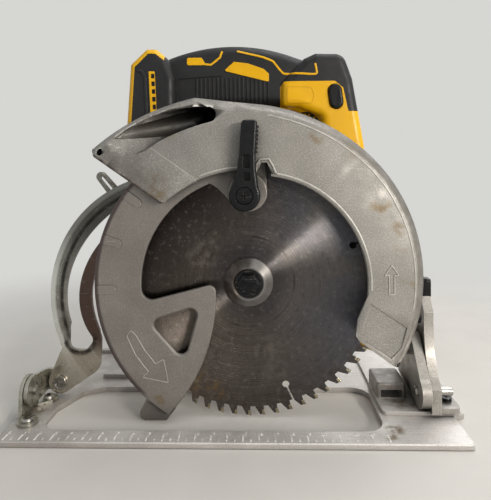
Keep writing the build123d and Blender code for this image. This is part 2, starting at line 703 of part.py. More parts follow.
with BuildPart() as guard_casting:
    with BuildSketch(at_y(GUARD_BACK_Y)):
        with BuildLine():
            front = ThreePointArc(GUARD_END, (113.4, 95), (75.1, 182.7))
            crest = TangentArc(front @ 1, (6, 212.7), tangent=front % 1)
            lip = TangentArc(crest @ 1, (-33, 217.5), tangent=crest % 1)
            chute = ThreePointArc(lip @ 1, (-66, 207.0), CHUTE_TIP)
            Polyline(CHUTE_TIP, CHUTE_HEEL, GUARD_HEEL, polar(BOSS_R + 6, 150))
            below = CenterArc((0, ARBOR_Z), BOSS_R + 6, 150, 180)
            Polyline(below @ 1, GUARD_TOE, GUARD_END)
        make_face()
    extrude(amount=GUARD_BACK_Y - GUARD_FRONT_Y)
    rim_edges = guard_casting.faces().sort_by(Axis.Y)[0].edges()
    rim_edges = rim_edges.filter_by(lambda e: e.center().Z > 60 and e.length > 25)
    rim_edges = rim_edges.filter_by(GeomType.CIRCLE)
    chamfer(rim_edges.filter_by_position(Axis.Z, 90, 230), 6.2)
    # room for the blade and the lower guard, open at the bottom
    with BuildSketch(at_y(GUARD_BACK_Y - 3)):
        with Locations((0, ARBOR_Z)):
            Circle(DRUM_R)
    extrude(amount=GUARD_BACK_Y - 3 - GUARD_FRONT_Y - GUARD_WALL, mode=Mode.SUBTRACT)
    # window in the front wall
    add(guard_window.part, mode=Mode.SUBTRACT)
    window_edges = guard_casting.faces().sort_by(Axis.Y)[0].edges().filter_by(GeomType.CIRCLE)
    fillet(window_edges.filter_by(lambda e: hypot(e.center().X, e.center().Z - ARBOR_Z) < 77), 1.4)
    with BuildSketch(at_y(GUARD_FRONT_Y + GUARD_WALL + 1)):
        with BuildLine():
            Polyline((6.6, 160), (7, 169.5), (9.6, 174.5), (13.2, 174.7), (15.6, 168), (16.2, 160), close=True)
        make_face()
    extrude(amount=GUARD_WALL + 3, mode=Mode.SUBTRACT)
    # raised field, and the dust chute that is open towards the blade side and joined to the drum
    add(guard_field.part)
    add(chute_space.part, mode=Mode.SUBTRACT)
    # hole for the screw of a dust adapter, in the chute tip
    with BuildSketch(at_y(GUARD_BACK_Y)):
        with Locations(DUST_SCREW):
            Circle(DUST_SCREW_R)
    extrude(amount=GUARD_BACK_Y - GUARD_FRONT_Y, mode=Mode.SUBTRACT)
    # opening in the back wall for the spindle boss, and the ear that holds the clamp bolt
    with BuildSketch(at_y(GUARD_BACK_Y)):
        with Locations((0, ARBOR_Z)):
            Circle(BOSS_R + 4)
    extrude(amount=4, mode=Mode.SUBTRACT)
    with BuildSketch(at_y(BRACKET_Y - 0.4)):
        with BuildSketch(mode=Mode.PRIVATE) as ear:
            with Locations(CLAMP):
                Circle(11)
            with Locations((-62, 165)):
                Circle(13)
            make_hull()
        add(ear.sketch)
    extrude(amount=BRACKET_Y - 0.4 - GUARD_BACK_Y + 3)
    with BuildSketch(at_y(BRACKET_Y)):
        with Locations(CLAMP):
            Circle(CLAMP_BOLT_R + 0.05)
    extrude(amount=8, mode=Mode.SUBTRACT)
    # sunk field at the front end
    with BuildSketch(at_y(GUARD_FRONT_Y + 0.8)):
        with BuildLine():
            Polyline((78.5, 83.5), (101, 68), (97.5, 55), (91, 48), (74, 59.5), (72.5, 64), close=True)
        make_face()
    extrude(amount=2, mode=Mode.SUBTRACT)
    # holes for the screws of the gear case
    with BuildSketch(at_y(GUARD_BACK_Y)):
        with Locations(*case_screw_places):
            Circle(2.2)
    extrude(amount=3, mode=Mode.SUBTRACT)
# The tip of the casting is a piece of its own, so that its bore and the drum each keep their shape in collision
NOSE_X = -90.6
with BuildPart() as nose_space:
    with Locations((NOSE_X - 15, 0, 185)):
        Box(30, 60, 40)
with BuildPart() as upper_guard:
    add(guard_casting.part)
    add(nose_space.part, mode=Mode.SUBTRACT)
upper_guard.part.label = "upper_guard"
export_step(upper_guard.part, "parts/upper_guard.step")

# Chute nose: the tip of the guard casting, with the screw hole for a dust adapter
with BuildPart() as chute_nose:
    add(guard_casting.part)
    add(nose_space.part, mode=Mode.INTERSECT)
chute_nose.part.label = "chute_nose"
export_step(chute_nose.part, "parts/chute_nose.step")

# Lower guard: a cast crescent that turns on the spindle boss and covers the blade below
TIP_ANGLE = 238.0
HUB_ANGLE = 91.0
LEVER_END = (0.5, 155.5)
LEVER_END_R = 12.8
LOBE_TIP = (-21.7, 94.9)
with BuildPart() as lower_guard:
    # front wall with its arm and triangular window
    with BuildSketch(at_y(LOWER_FRONT_Y + 2.5)):
        with BuildLine():
            outer = CenterArc((0, ARBOR_Z), LOWER_R, 84, TIP_ANGLE - 84)
            edge = ThreePointArc(outer @ 1, (-29.5, 46), (-21.6, 86))
            inner = CenterArc((0, ARBOR_Z), 71.5, 189.2, -79.2)
            Polyline(edge @ 1, LOBE_TIP, inner @ 0)
            lever_end = CenterArc(LEVER_END, LEVER_END_R, 215, 145)
            Polyline(inner @ 1, polar(67, 107), lever_end @ 0)
            Polyline(lever_end @ 1, polar(80, 81), outer @ 0)
        make_face()
        with BuildLine():
            Polyline((-67, 69.5), (-32.5, 80.5), (-43.5, 43), close=True)
        make_face(mode=Mode.SUBTRACT)
    extrude(amount=2.5)
    window_corners = lower_guard.edges().filter_by(Axis.Y).filter_by_position(Axis.X, -68, -30)
    window_corners = window_corners.filter_by_position(Axis.Z, 42, 81)
    fillet(window_corners, 4.5)
    wall_corners = lower_guard.edges().filter_by(Axis.Y)
    fillet(wall_corners.filter_by(lambda e: hypot(e.center().X - LOBE_TIP[0], e.center().Z - LOBE_TIP[1]) < 1), 4.5)
    wall_corners = lower_guard.edges().filter_by(Axis.Y)
    fillet(wall_corners.filter_by_position(Axis.X, -72, -70).filter_by_position(Axis.Z, 82, 84), 7)
    front_face = lower_guard.faces().sort_by(Axis.Y)[0]
    chamfer(front_face.inner_wires()[0].edges(), 1.2)
    front_face = lower_guard.faces().sort_by(Axis.Y)[0]
    fillet(front_face.outer_wire().edges(), 0.7)
    # rim
    with BuildSketch(at_y(LOWER_BACK_Y)):
        with BuildLine():
            outside = CenterArc((0, ARBOR_Z), LOWER_R, 92, TIP_ANGLE - 92)
            inside = CenterArc((0, ARBOR_Z), LOWER_R - 2.6, 92, TIP_ANGLE - 92)
            Line(outside @ 0, inside @ 0)
            Line(outside @ 1, inside @ 1)
        make_face()
    extrude(amount=LOWER_BACK_Y - LOWER_FRONT_Y - 1)
    # back wall with the hub ring
    with BuildSketch(at_y(LOWER_BACK_Y)):
        with BuildLine():
            back = CenterArc((0, ARBOR_Z), LOWER_R - 1, 100, 128)
            Polyline(back @ 1, polar(31, 250), polar(31, 80), back @ 0)
        make_face()
        with Locations((0, ARBOR_Z)):
            Circle(31)
            Circle(BOSS_R + 0.06, mode=Mode.SUBTRACT)
    extrude(amount=3)
    # foot at the leading end, on which the guard rests
    with BuildSketch(at_y(LOWER_BACK_Y)):
        with BuildLine():
            heel = Spline((-66.5, 17.5), (-70.8, 12.4), (-74.6, 7.6), (-75.2, 3.6), (-71.5, 0.6))
            Polyline(heel @ 1, (-57, 0.6), (-50.5, 9), (-66.5, 17.5))
        make_face()
    extrude(amount=13)
    # boss for the guard lever, on a round pad
    with BuildSketch(at_y(LOWER_FRONT_Y + 1)):
        with Locations(LEVER_END):
            Circle(LEVER_END_R)
    extrude(amount=4.4)
    fillet(lower_guard.faces().sort_by(Axis.Y)[0].edges(), 1.0)
    with BuildSketch(at_y(LOWER_FRONT_Y + 2.5)):
        with Locations(polar(LEVER_R, HUB_ANGLE)):
            Circle(9.5)
    extrude(amount=13.3)
    with BuildSketch(at_y(LOWER_FRONT_Y + 2.5)):
        with Locations(polar(LEVER_R, HUB_ANGLE)):
            Circle(2.5)
    extrude(amount=14, mode=Mode.SUBTRACT)
    # three cast tabs that run out to the rim of the crescent
    for angle in (143, 162, 181.5):
        outward = (cos(radians(angle)), 0, sin(radians(angle)))
        with BuildSketch(Plane(origin=(0, LOWER_FRONT_Y, ARBOR_Z), x_dir=outward, z_dir=(0, -1, 0))):
            with Locations((91.2, 0)):
                Circle(2.8)
            with Locations((96.8, 0)):
                Rectangle(11.2, 5.6)
        extrude(amount=0.8)
lower_guard.part.label = "lower_guard"
export_step(lower_guard.part, "parts/lower_guard.step")

# Guard lever: black handle screwed on the lower guard
with BuildPart() as guard_lever:
    with BuildSketch(at_y(-20.9)):
        with Locations(polar(LEVER_R, HUB_ANGLE)):
            Circle(9.8)
        with BuildLine():
            Polyline(
                (-9.6, 158.5),
                (-6.0, 168.4),
                (-4.1, 179.0),
                (-2.4, 201.0),
                (7.6, 201.0),
                (6.2, 179.0),
                (6.4, 168.4),
                (7.6, 158.5),
                close=True,
            )
        make_face()
    extrude(amount=9)
    fillet(guard_lever.edges().filter_by(Axis.Y).group_by(Axis.Z)[-1], 2.4)
    fillet(guard_lever.faces().sort_by(Axis.Y)[0].edges(), 1.8)
    # two pockets that leave a cross wall in the arm
    for low, high in ((163.4, 168.6), (171.0, 179.5)):
        with BuildSketch(at_y(-25.4)):
            with Locations((0.4, (low + high) / 2)):
                RectangleRounded(4.6, high - low, 1.0)
        extrude(amount=6, mode=Mode.SUBTRACT)
    with BuildSketch(at_y(-20.9)):
        with Locations(polar(LEVER_R, HUB_ANGLE)):
            Circle(2.5)
    extrude(amount=4.5, mode=Mode.SUBTRACT)
    with BuildSketch(at_y(-25.4)):
        with Locations(polar(LEVER_R, HUB_ANGLE)):
            Circle(5.6)
    extrude(amount=6, mode=Mode.SUBTRACT)
guard_lever.part.label = "guard_lever"
export_step(guard_lever.part, "parts/guard_lever.step")

# Screw of the guard lever, sunk in its hub
with BuildPart() as lever_screw:
    with BuildSketch(at_y(-9)):
        with Locations(polar(LEVER_R, HUB_ANGLE)):
            Circle(2.45)
    extrude(amount=16.4)
    with BuildSketch(at_y(-25.4)):
        with Locations(polar(LEVER_R, HUB_ANGLE)):
            Circle(5)
            Rectangle(5.6, 1.3, mode=Mode.SUBTRACT)
            Rectangle(1.3, 5.6, mode=Mode.SUBTRACT)
    extrude(amount=2.6)
lever_screw.part.label = "lever_screw"
export_step(lever_screw.part, "parts/lever_screw.step")

# Guard return spring: a wound wire around the spindle boss, behind the lower guard
SPRING_TURNS = 3
SPRING_PITCH = 1.3
SPRING_WIRE = 0.8
SPRING_R = BOSS_R + 1.6
with BuildPart() as guard_spring:
    with BuildLine() as wire:
        Helix(
            SPRING_PITCH,
            SPRING_PITCH * SPRING_TURNS,
            SPRING_R,
            center=(0, LOWER_BACK_Y + 0.9, ARBOR_Z),
            direction=(0, 1, 0),
        )
    with BuildSketch(Plane(origin=wire.line @ 0, z_dir=wire.line % 0)):
        Circle(SPRING_WIRE / 2)
    sweep(path=wire.line)
print("gap between spring turns", round(SPRING_PITCH - SPRING_WIRE, 2))
guard_spring.part.label = "guard_spring"
export_step(guard_spring.part, "parts/guard_spring.step")

# Retaining ring that keeps the lower guard on the boss
with BuildPart() as guard_ring:
    with BuildSketch(at_y(4.8)):
        with Locations((0, ARBOR_Z)):
            Circle(BOSS_R + 3)
            Circle(BOSS_R, mode=Mode.SUBTRACT)
    extrude(amount=1.1)
guard_ring.part.label = "guard_ring"
export_step(guard_ring.part, "parts/guard_ring.step")

# Saw blade: steel plate with gullets, expansion slots and a seat for each carbide tip
TIP_LENGTH = 3.4
TIP_DEEP = 1.5
pitch = 360 / TOOTH_COUNT
blade_r = BLADE_D / 2
outline = []
for tooth in range(TOOTH_COUNT):
    # the front of each tooth looks from X towards Z, the way the blade turns
    front_angle = tooth * pitch
    outline.append(polar(blade_r - 6.2, front_angle - pitch + 2.0))
    outline.append(polar(blade_r - 0.5, front_angle - 1.9))
    outline.append(polar(blade_r - 0.4, front_angle - degrees(TIP_DEEP / blade_r)))
    outline.append(polar(blade_r - TIP_LENGTH, front_angle - degrees(TIP_DEEP / blade_r)))
    outline.append(polar(blade_r - TIP_LENGTH, front_angle - 0.1))
    outline.append(polar(blade_r - 6.2, front_angle))
with BuildPart() as blade:
    with BuildSketch(at_y(BLADE_PLATE / 2)):
        with BuildLine():
            Polyline(*outline, close=True)
        make_face()
        with Locations((0, ARBOR_Z)):
            Circle(SPINDLE_R, mode=Mode.SUBTRACT)
        for angle in (289, 19, 109, 199):
            with Locations(polar(74.5, angle)):
                Circle(2.4, mode=Mode.SUBTRACT)
            with BuildLine():
                Polyline(
                    polar(74.5, angle - 0.45),
                    polar(74.5, angle + 0.45),
                    polar(89, angle + 1.4),
                    polar(89, angle + 0.7),
                    close=True,
                )
            make_face(mode=Mode.SUBTRACT)
    extrude(amount=BLADE_PLATE)
blade.part.label = "blade"
export_step(blade.part, "parts/blade.step")

# Carbide tips, one in the seat of each tooth and a little wider than the plate
with BuildPart() as blade_tips:
    with BuildSketch(at_y(BLADE_KERF / 2)):
        for tooth in range(TOOTH_COUNT):
            angle = tooth * pitch
            back = degrees(TIP_DEEP / blade_r)
            with BuildLine():
                Polyline(
                    polar(blade_r - TIP_LENGTH, angle - 0.1),
                    polar(blade_r, angle + 0.35),
                    polar(blade_r - 0.3, angle - back),
                    polar(blade_r - TIP_LENGTH, angle - back),
                    close=True,
                )
            make_face()
    extrude(amount=BLADE_KERF)
blade_tips.part.label = "blade_tips"
export_step(blade_tips.part, "parts/blade_tips.step")

# Outer flange: turned steel cone with a recess for the head of the blade bolt
FLANGE_R = 16.5
FLANGE_CREST_Y = -7.2
FLANGE_FLOOR_Y = -4.8
SPINDLE_SEAT_Y = -3.6
with BuildPart() as outer_flange:
    with BuildSketch(Plane(origin=(0, 0, ARBOR_Z), x_dir=(1, 0, 0), z_dir=(0, 0, 1))):
        with BuildLine():
            Polyline(
                (SPINDLE_R + 0.1, -BLADE_PLATE / 2),
                (FLANGE_R, -BLADE_PLATE / 2),
                (FLANGE_R, -2.4),
                (FLANGE_R - 0.5, -2.9),
                (11.2, FLANGE_CREST_Y),
                (10.2, FLANGE_CREST_Y),
                (9.5, FLANGE_CREST_Y + 0.7),
                (9.5, FLANGE_FLOOR_Y),
                (4.2, FLANGE_FLOOR_Y),
                (4.2, SPINDLE_SEAT_Y),
                (SPINDLE_R + 0.1, SPINDLE_SEAT_Y),
                close=True,
            )
        make_face()
    revolve(axis=Axis((0, 0, ARBOR_Z), (0, 1, 0)))
outer_flange.part.label = "outer_flange"
export_step(outer_flange.part, "parts/outer_flange.step")

# Blade bolt with a hexagon head and a plain collar
with BuildPart() as blade_bolt:
    with BuildSketch(at_y(-4.9)):
        with Locations((0, ARBOR_Z)):
            Circle(9)
    extrude(amount=1.4)
    with BuildSketch(at_y(-6.3)):
        with Locations((0, ARBOR_Z)):
            RegularPolygon(radius=6.5, side_count=6, major_radius=False)
    extrude(amount=3.4)
    chamfer(blade_bolt.faces().sort_by(Axis.Y)[0].edges(), 0.5)
    with BuildSketch(at_y(14)):
        with Locations((0, ARBOR_Z)):
            Circle(4.0)
    extrude(amount=18.9)
blade_bolt.part.label = "blade_bolt"
export_step(blade_bolt.part, "parts/blade_bolt.step")

# Inner flange behind the blade
with BuildPart() as inner_flange:
    with BuildSketch(at_y(3.0)):
        with Locations((0, ARBOR_Z)):
            Circle(18)
            Circle(SPINDLE_R, mode=Mode.SUBTRACT)
    extrude(amount=3.0 - BLADE_PLATE / 2)
inner_flange.part.label = "inner_flange"
export_step(inner_flange.part, "parts/inner_flange.step")

# Spindle with the threaded bore for the blade bolt and four slots for the spindle lock
with BuildPart() as spindle:
    with BuildSketch(at_y(43)):
        with Locations((0, ARBOR_Z)):
            Circle(SPINDLE_R)
    extrude(amount=46.3)
    with BuildSketch(at_y(27.6)):
        with Locations((0, ARBOR_Z)):
            Circle(15)
    extrude(amount=4)
    with BuildSketch(at_y(27.6)):
        with Locations((0, ARBOR_Z)):
            with PolarLocations(13.5, 4, start_angle=LOCK_ANGLE):
                Rectangle(7, 5.4)
    extrude(amount=4, mode=Mode.SUBTRACT)
    with BuildSketch(at_y(15)):
        with Locations((0, ARBOR_Z)):
            Circle(4.05)
    extrude(amount=20, mode=Mode.SUBTRACT)
spindle.part.label = "spindle"
export_step(spindle.part, "parts/spindle.step")


def gear_outline(teeth, centre, turn):
    """Outline of a spur gear whose flank points lie on the involute, with play between teeth."""
    pitch_r = GEAR_MODULE * teeth / 2
    base_r = pitch_r * cos(radians(20))
    root_r = pitch_r - 1.2 * GEAR_MODULE
    tip_r = pitch_r + 0.75 * GEAR_MODULE
    half = pi / (2 * teeth) - 0.16 / pitch_r

    def flank(r):
        spread = acos(min(1, base_r / r))
        at_pitch = acos(base_r / pitch_r)
        return half + (tan(at_pitch) - at_pitch) - (tan(spread) - spread)

    radii = [max(base_r, root_r + 0.05), pitch_r, (pitch_r + tip_r) / 2, tip_r]
    points = []
    for tooth in range(teeth):
        middle = radians(turn) + 2 * pi * tooth / teeth
        step = 2 * pi / teeth
        points.append((root_r, middle - step / 2 + 0.1 * step))
        for r in radii:
            points.append((r, middle - flank(r)))
        for r in reversed(radii):
            points.append((r, middle + flank(r)))
        points.append((root_r, middle + step / 2 - 0.1 * step))
    return [(centre[0] + r * cos(a), centre[1] + r * sin(a)) for r, a in points]


# Drive gear on the spindle
with BuildPart() as drive_gear:
    with BuildSketch(at_y(37)):
        with BuildLine():
            Polyline(*gear_outline(GEAR_TEETH, (0, ARBOR_Z), MOTOR_ANGLE), close=True)
        make_face()
        with Locations((0, ARBOR_Z)):
            Circle(SPINDLE_R, mode=Mode.SUBTRACT)
    extrude(amount=8)
drive_gear.part.label = "drive_gear"
export_step(drive_gear.part, "parts/drive_gear.step")

# Motor shaft with the pinion cut on its end
with BuildPart() as motor_shaft:
    with BuildSketch(at_y(38.5)):
        with BuildLine():
            pinion_turn = MOTOR_ANGLE + 180 + 180 / PINION_TEETH
            Polyline(*gear_outline(PINION_TEETH, (MOTOR_X, MOTOR_Z), pinion_turn), close=True)
        make_face()
    extrude(amount=11)
    with BuildSketch(at_y(MOTOR_END_Y + 5)):
        with Locations((MOTOR_X, MOTOR_Z)):
            Circle(4)
    extrude(amount=MOTOR_END_Y + 5 - 38.5)
motor_shaft.part.label = "motor_shaft"
export_step(motor_shaft.part, "parts/motor_shaft.step")

# Rotor core with its magnets
with BuildPart() as rotor_core:
    with BuildSketch(at_y(94)):
        with Locations((MOTOR_X, MOTOR_Z)):
            Circle(15)
            Circle(4, mode=Mode.SUBTRACT)
    extrude(amount=30)
rotor_core.part.label = "rotor_core"
export_step(rotor_core.part, "parts/rotor_core.step")

# Cooling fan with straight vanes
with BuildPart() as cooling_fan:
    with BuildSketch(at_y(56)):
        with Locations((MOTOR_X, MOTOR_Z)):
            Circle(33)
            Circle(4, mode=Mode.SUBTRACT)
    extrude(amount=2)
    with BuildSketch(at_y(54)):
        with Locations((MOTOR_X, MOTOR_Z)):
            with PolarLocations(23, 12):
                Rectangle(18, 1.4)
    extrude(amount=5)
cooling_fan.part.label = "cooling_fan"
export_step(cooling_fan.part, "parts/cooling_fan.step")

# Stator ring with six coil heads
with BuildPart() as stator:
    with BuildSketch(at_y(94)):
        with Locations((MOTOR_X, MOTOR_Z)):
            Circle(MOTOR_R - 4)
            Circle(30, mode=Mode.SUBTRACT)
            with PolarLocations(23.5, 6):
                Rectangle(15, 9)
            with PolarLocations(17.3, 6):
                Rectangle(3, 14)
            Circle(15.8, mode=Mode.SUBTRACT)
    extrude(amount=30)
stator.part.label = "stator"
export_step(stator.part, "parts/stator.step")


def bearing(outer_r, inner_r, centre, y, width):
    """A ball bearing drawn as two rings and a shield."""
    with BuildPart() as ring:
        with BuildSketch(at_y(y + width)):
            with Locations(centre):
                Circle(outer_r)
                Circle(inner_r, mode=Mode.SUBTRACT)
        extrude(amount=width)
        middle = (outer_r + inner_r) / 2
        for face_y, depth in ((y + width, 0.5), (y + 0.5, 0.5)):
            with BuildSketch(at_y(face_y)):
                with Locations(centre):
                    Circle(middle + (outer_r - inner_r) * 0.18)
                    Circle(middle - (outer_r - inner_r) * 0.18, mode=Mode.SUBTRACT)
            extrude(amount=depth, mode=Mode.SUBTRACT)
    return ring.part


# Spindle bearing in the bearing plate
BEARING_Y = 11.2
spindle_rings = bearing(16, SPINDLE_R + 0.05, (0, ARBOR_Z), BEARING_Y, 9)
with BuildPart() as spindle_bearing:
    add(spindle_rings)
spindle_bearing.part.label = "spindle_bearing"
export_step(spindle_bearing.part, "parts/spindle_bearing.step")

# Bronze bush at the rear end of the spindle
with BuildPart() as spindle_bush:
    with BuildSketch(at_y(CASE_END_Y - 2)):
        with Locations((0, ARBOR_Z)):
            Circle(11)
            Circle(SPINDLE_R + 0.05, mode=Mode.SUBTRACT)
    extrude(amount=4.5)
spindle_bush.part.label = "spindle_bush"
export_step(spindle_bush.part, "parts/spindle_bush.step")

# Two bearings of the motor shaft
front_rings = bearing(9.5, 4.05, (MOTOR_X, MOTOR_Z), 39.8, 6)
rear_rings = bearing(9.5, 4.05, (MOTOR_X, MOTOR_Z), MOTOR_END_Y - 2, 6)
with BuildPart() as motor_bearings:
    add(front_rings)
    add(rear_rings)
motor_bearings.part.label = "motor_bearings"
export_step(motor_bearings.part, "parts/motor_bearings.step")


def case_outline(grow):
    """Rounded outline around the spindle and the motor shaft, grown or shrunk by an amount."""
    with BuildSketch() as outline_sketch:
        with Locations((0, ARBOR_Z)):
            Circle(CASE_R + grow)
        with Locations((MOTOR_X, MOTOR_Z)):
            Circle(MOTOR_R + grow)
        make_hull()
    return outline_sketch.sketch


def flange_outline():
    """Round flange with a lobe for each screw that holds plate and case on the guard."""
    with BuildSketch() as outline_sketch:
        for place in case_screw_places:
            with BuildSketch(mode=Mode.PRIVATE) as lobe:
                with Locations((0, ARBOR_Z)):
                    Circle(CASE_R)
                with Locations(place):
                    Circle(6.5)
                make_hull()
            add(lobe.sketch)
        with Locations(*case_screw_places):
            Circle(2.2, mode=Mode.SUBTRACT)
    return outline_sketch.sketch


# Bearing plate with the boss that the lower guard turns on
flange_sketch = flange_outline()
with BuildPart() as bearing_plate:
    with BuildSketch(at_y(CASE_Y)):
        add(flange_sketch)
    extrude(amount=CASE_Y - PLATE_Y)
    with BuildSketch(at_y(PLATE_Y)):
        with Locations((0, ARBOR_Z)):
            Circle(BOSS_R)
    extrude(amount=PLATE_Y - 3.6)
    with BuildSketch(at_y(CASE_Y)):
        with Locations((0, ARBOR_Z)):
            Circle(16)
    extrude(amount=CASE_Y - BEARING_Y, mode=Mode.SUBTRACT)
    with BuildSketch(at_y(CASE_Y)):
        with Locations((0, ARBOR_Z)):
            Circle(SPINDLE_R + 2)
    extrude(amount=20, mode=Mode.SUBTRACT)
bearing_plate.part.label = "bearing_plate"
export_step(bearing_plate.part, "parts/bearing_plate.step")

# Gear case: cast housing behind the guard, with the arm and lug of the depth pivot.
# In front of the motor it stands back, so that the depth bracket can pass.
MOTOR_FACE_Y = 24.0
LOCK_GUIDE_R = 40.0
LOCK_SEAT_R = 30.5
LOCK_HEAD = 4.4
case_sketch = case_outline(0)
room_sketch = case_outline(-CASE_WALL)
lock_dir = Vector(cos(radians(LOCK_ANGLE)), 0, sin(radians(LOCK_ANGLE)))
lock_foot = Vector(0, 25.6, ARBOR_Z)


def across_lock(r):
    """Plane across the spindle lock at a distance from the arbor, facing outwards."""
    return Plane(origin=lock_foot + lock_dir * r, x_dir=(0, 1, 0), z_dir=lock_dir)


with BuildPart() as gear_case:
    with BuildSketch(at_y(CASE_END_Y)):
        add(case_sketch)
    extrude(amount=CASE_END_Y - MOTOR_FACE_Y)
    with BuildSketch(at_y(MOTOR_FACE_Y)):
        with Locations((0, ARBOR_Z)):
            Circle(CASE_R)
    extrude(amount=MOTOR_FACE_Y - CASE_Y)
    with BuildSketch(at_y(FLANGE_END_Y)):
        add(flange_sketch)
    extrude(amount=FLANGE_END_Y - CASE_Y)
    with BuildSketch(at_y(LUG_Y[1])):
        with BuildLine():
            arm_top = Polyline((12, 80), (16, 97), (52, 90), (106, 52.4), (112, 52.4))
            Polyline(arm_top @ 1, (112, 37.6), (104, 38.5), (78, 52), (12, 80))
        make_face()
        with Locations(PIVOT):
            Circle(LUG_R)
    extrude(amount=LUG_Y[1] - LUG_Y[0])
    with BuildSketch(across_lock(CASE_R - CASE_WALL)):
        Circle(LOCK_HEAD + 1.6)
    extrude(amount=LOCK_GUIDE_R - CASE_R + CASE_WALL)
    # gear room and pinion room
    with BuildSketch(at_y(39.5)):
        with Locations((0, ARBOR_Z)):
            Circle(CASE_R - CASE_WALL)
    extrude(amount=39.5 - CASE_Y, mode=Mode.SUBTRACT)
    with BuildSketch(at_y(39.5)):
        add(room_sketch)
    extrude(amount=39.5 - MOTOR_FACE_Y - 2.8, mode=Mode.SUBTRACT)
    with BuildSketch(at_y(CASE_END_Y)):
        with Locations(PIVOT):
            Circle(4.05)
    extrude(amount=30, mode=Mode.SUBTRACT)
    with BuildSketch(at_y(CASE_END_Y - 2)):
        with Locations((0, ARBOR_Z)):
            Circle(11)
    extrude(amount=6, mode=Mode.SUBTRACT)
    with BuildSketch(at_y(CASE_END_Y)):
        with Locations((MOTOR_X, MOTOR_Z)):
            Circle(9.5)
    extrude(amount=8, mode=Mode.SUBTRACT)
    # guide bore of the spindle lock and the seat of its head
    with BuildSketch(across_lock(10)):
        Circle(2.46)
    extrude(amount=LOCK_GUIDE_R, mode=Mode.SUBTRACT)
    with BuildSketch(across_lock(LOCK_SEAT_R)):
        Circle(LOCK_HEAD + 0.4)
    extrude(amount=30, mode=Mode.SUBTRACT)
gear_case.part.label = "gear_case"
export_step(gear_case.part, "parts/gear_case.step")

# Spindle-lock button: a pin with a broad head, pressed inwards against the spindle collar
with BuildPart() as lock_button:
    with BuildSketch(across_lock(17.5)):
        Circle(2.4)
    extrude(amount=20)
    with BuildSketch(across_lock(LOCK_SEAT_R + 4)):
        Circle(LOCK_HEAD)
    extrude(amount=17)
    fillet(lock_button.edges().filter_by(GeomType.CIRCLE).sort_by(Axis.X)[-1], 1.5)
lock_button.part.label = "lock_button"
export_step(lock_button.part, "parts/lock_button.step")

# Work light on the underside of the lug arm: a yellow holder and its clear lens
with BuildPart() as work_light:
    with BuildSketch(at_y(30.5)):
        with BuildLine():
            Polyline((77, 43), (88, 37.5), (95, 43.1), (78, 51.9), close=True)
        make_face()
    extrude(amount=9)
    with BuildSketch(at_y(29)):
        with BuildLine():
            Polyline((76, 41.5), (79.5, 46), (88, 42), (85, 36), close=True)
        make_face()
    extrude(amount=6, mode=Mode.SUBTRACT)
work_light.part.label = "work_light"
export_step(work_light.part, "parts/work_light.step")

with BuildPart() as light_lens:
    with BuildSketch(at_y(28.9)):
        with BuildLine():
            Polyline((78, 43.9), (79.5, 45.8), (87.5, 42), (86.2, 39.6), close=True)
        make_face()
    extrude(amount=5.8)
light_lens.part.label = "light_lens"
export_step(light_lens.part, "parts/light_lens.step")

# Motor housing: the yellow drum around the motor, with cooling slots
with BuildPart() as motor_housing:
    with BuildSketch(at_y(MOTOR_END_Y)):
        with Locations((MOTOR_X, MOTOR_Z)):
            Circle(MOTOR_R)
    extrude(amount=MOTOR_END_Y - CASE_END_Y)
    with BuildSketch(at_y(MOTOR_END_Y)):
        with Locations((MOTOR_X, MOTOR_Z)):
            Circle(MOTOR_R - 4)
    extrude(amount=MOTOR_END_Y - CASE_END_Y - 2, mode=Mode.SUBTRACT)
    with BuildSketch(at_y(CASE_END_Y + 3)):
        with Locations((MOTOR_X, MOTOR_Z)):
            Circle(11)
    extrude(amount=4, mode=Mode.SUBTRACT)
    for angle in (-75, -60, -45, -30, -15, 165, 180, 195, 210, 225):
        slot_dir = (cos(radians(angle)), 0, sin(radians(angle)))
        with BuildSketch(Plane(origin=(MOTOR_X, 52, MOTOR_Z), x_dir=(0, 1, 0), z_dir=slot_dir)):
            RectangleRounded(9, 4, 1.9)
        extrude(amount=MOTOR_R + 5, mode=Mode.SUBTRACT)
motor_housing.part.label = "motor_housing"
export_step(motor_housing.part, "parts/motor_housing.step")

# End cap of the motor: black, with a ring of air slots and the seat of the rear bearing
with BuildPart() as end_cap:
    with BuildSketch(at_y(CAP_END_Y)):
        with Locations((MOTOR_X, MOTOR_Z)):
            Circle(MOTOR_R)
    extrude(amount=CAP_END_Y - MOTOR_END_Y)
    fillet(end_cap.faces().sort_by(Axis.Y)[-1].edges(), 6)
    with BuildSketch(at_y(CAP_END_Y - 4)):
        with Locations((MOTOR_X, MOTOR_Z)):
            Circle(MOTOR_R - 5)
            Circle(13, mode=Mode.SUBTRACT)
    extrude(amount=CAP_END_Y - 4 - MOTOR_END_Y, mode=Mode.SUBTRACT)
    with BuildSketch(at_y(MOTOR_END_Y + 6)):
        with Locations((MOTOR_X, MOTOR_Z)):
            Circle(9.5)
    extrude(amount=6, mode=Mode.SUBTRACT)
    with BuildSketch(at_y(CAP_END_Y)):
        with Locations((MOTOR_X, MOTOR_Z)):
            with PolarLocations(24, 16):
                RectangleRounded(14, 3.2, 1.5)
    extrude(amount=5, mode=Mode.SUBTRACT)
    cap_angles = [radians(20), radians(140), radians(260)]
    cap_points = [(MOTOR_X + 36.5 * cos(a), MOTOR_Z + 36.5 * sin(a)) for a in cap_angles]
    with BuildSketch(at_y(CAP_END_Y)):
        with Locations(*cap_points):
            Circle(1.9)
    extrude(amount=20, mode=Mode.SUBTRACT)
end_cap.part.label = "end_cap"
export_step(end_cap.part, "parts/end_cap.step")


# Handle shells, in two halves that meet in one plane: a slim grip with a finger opening,
# a broad block at the rear that takes the battery, and a front block that leads to the motor
GRIP_REAR = (-60.0, 255.0)
GRIP_TOP = (-14.5, 263.6)
GRIP_FRONT = (38.3, 253.4)


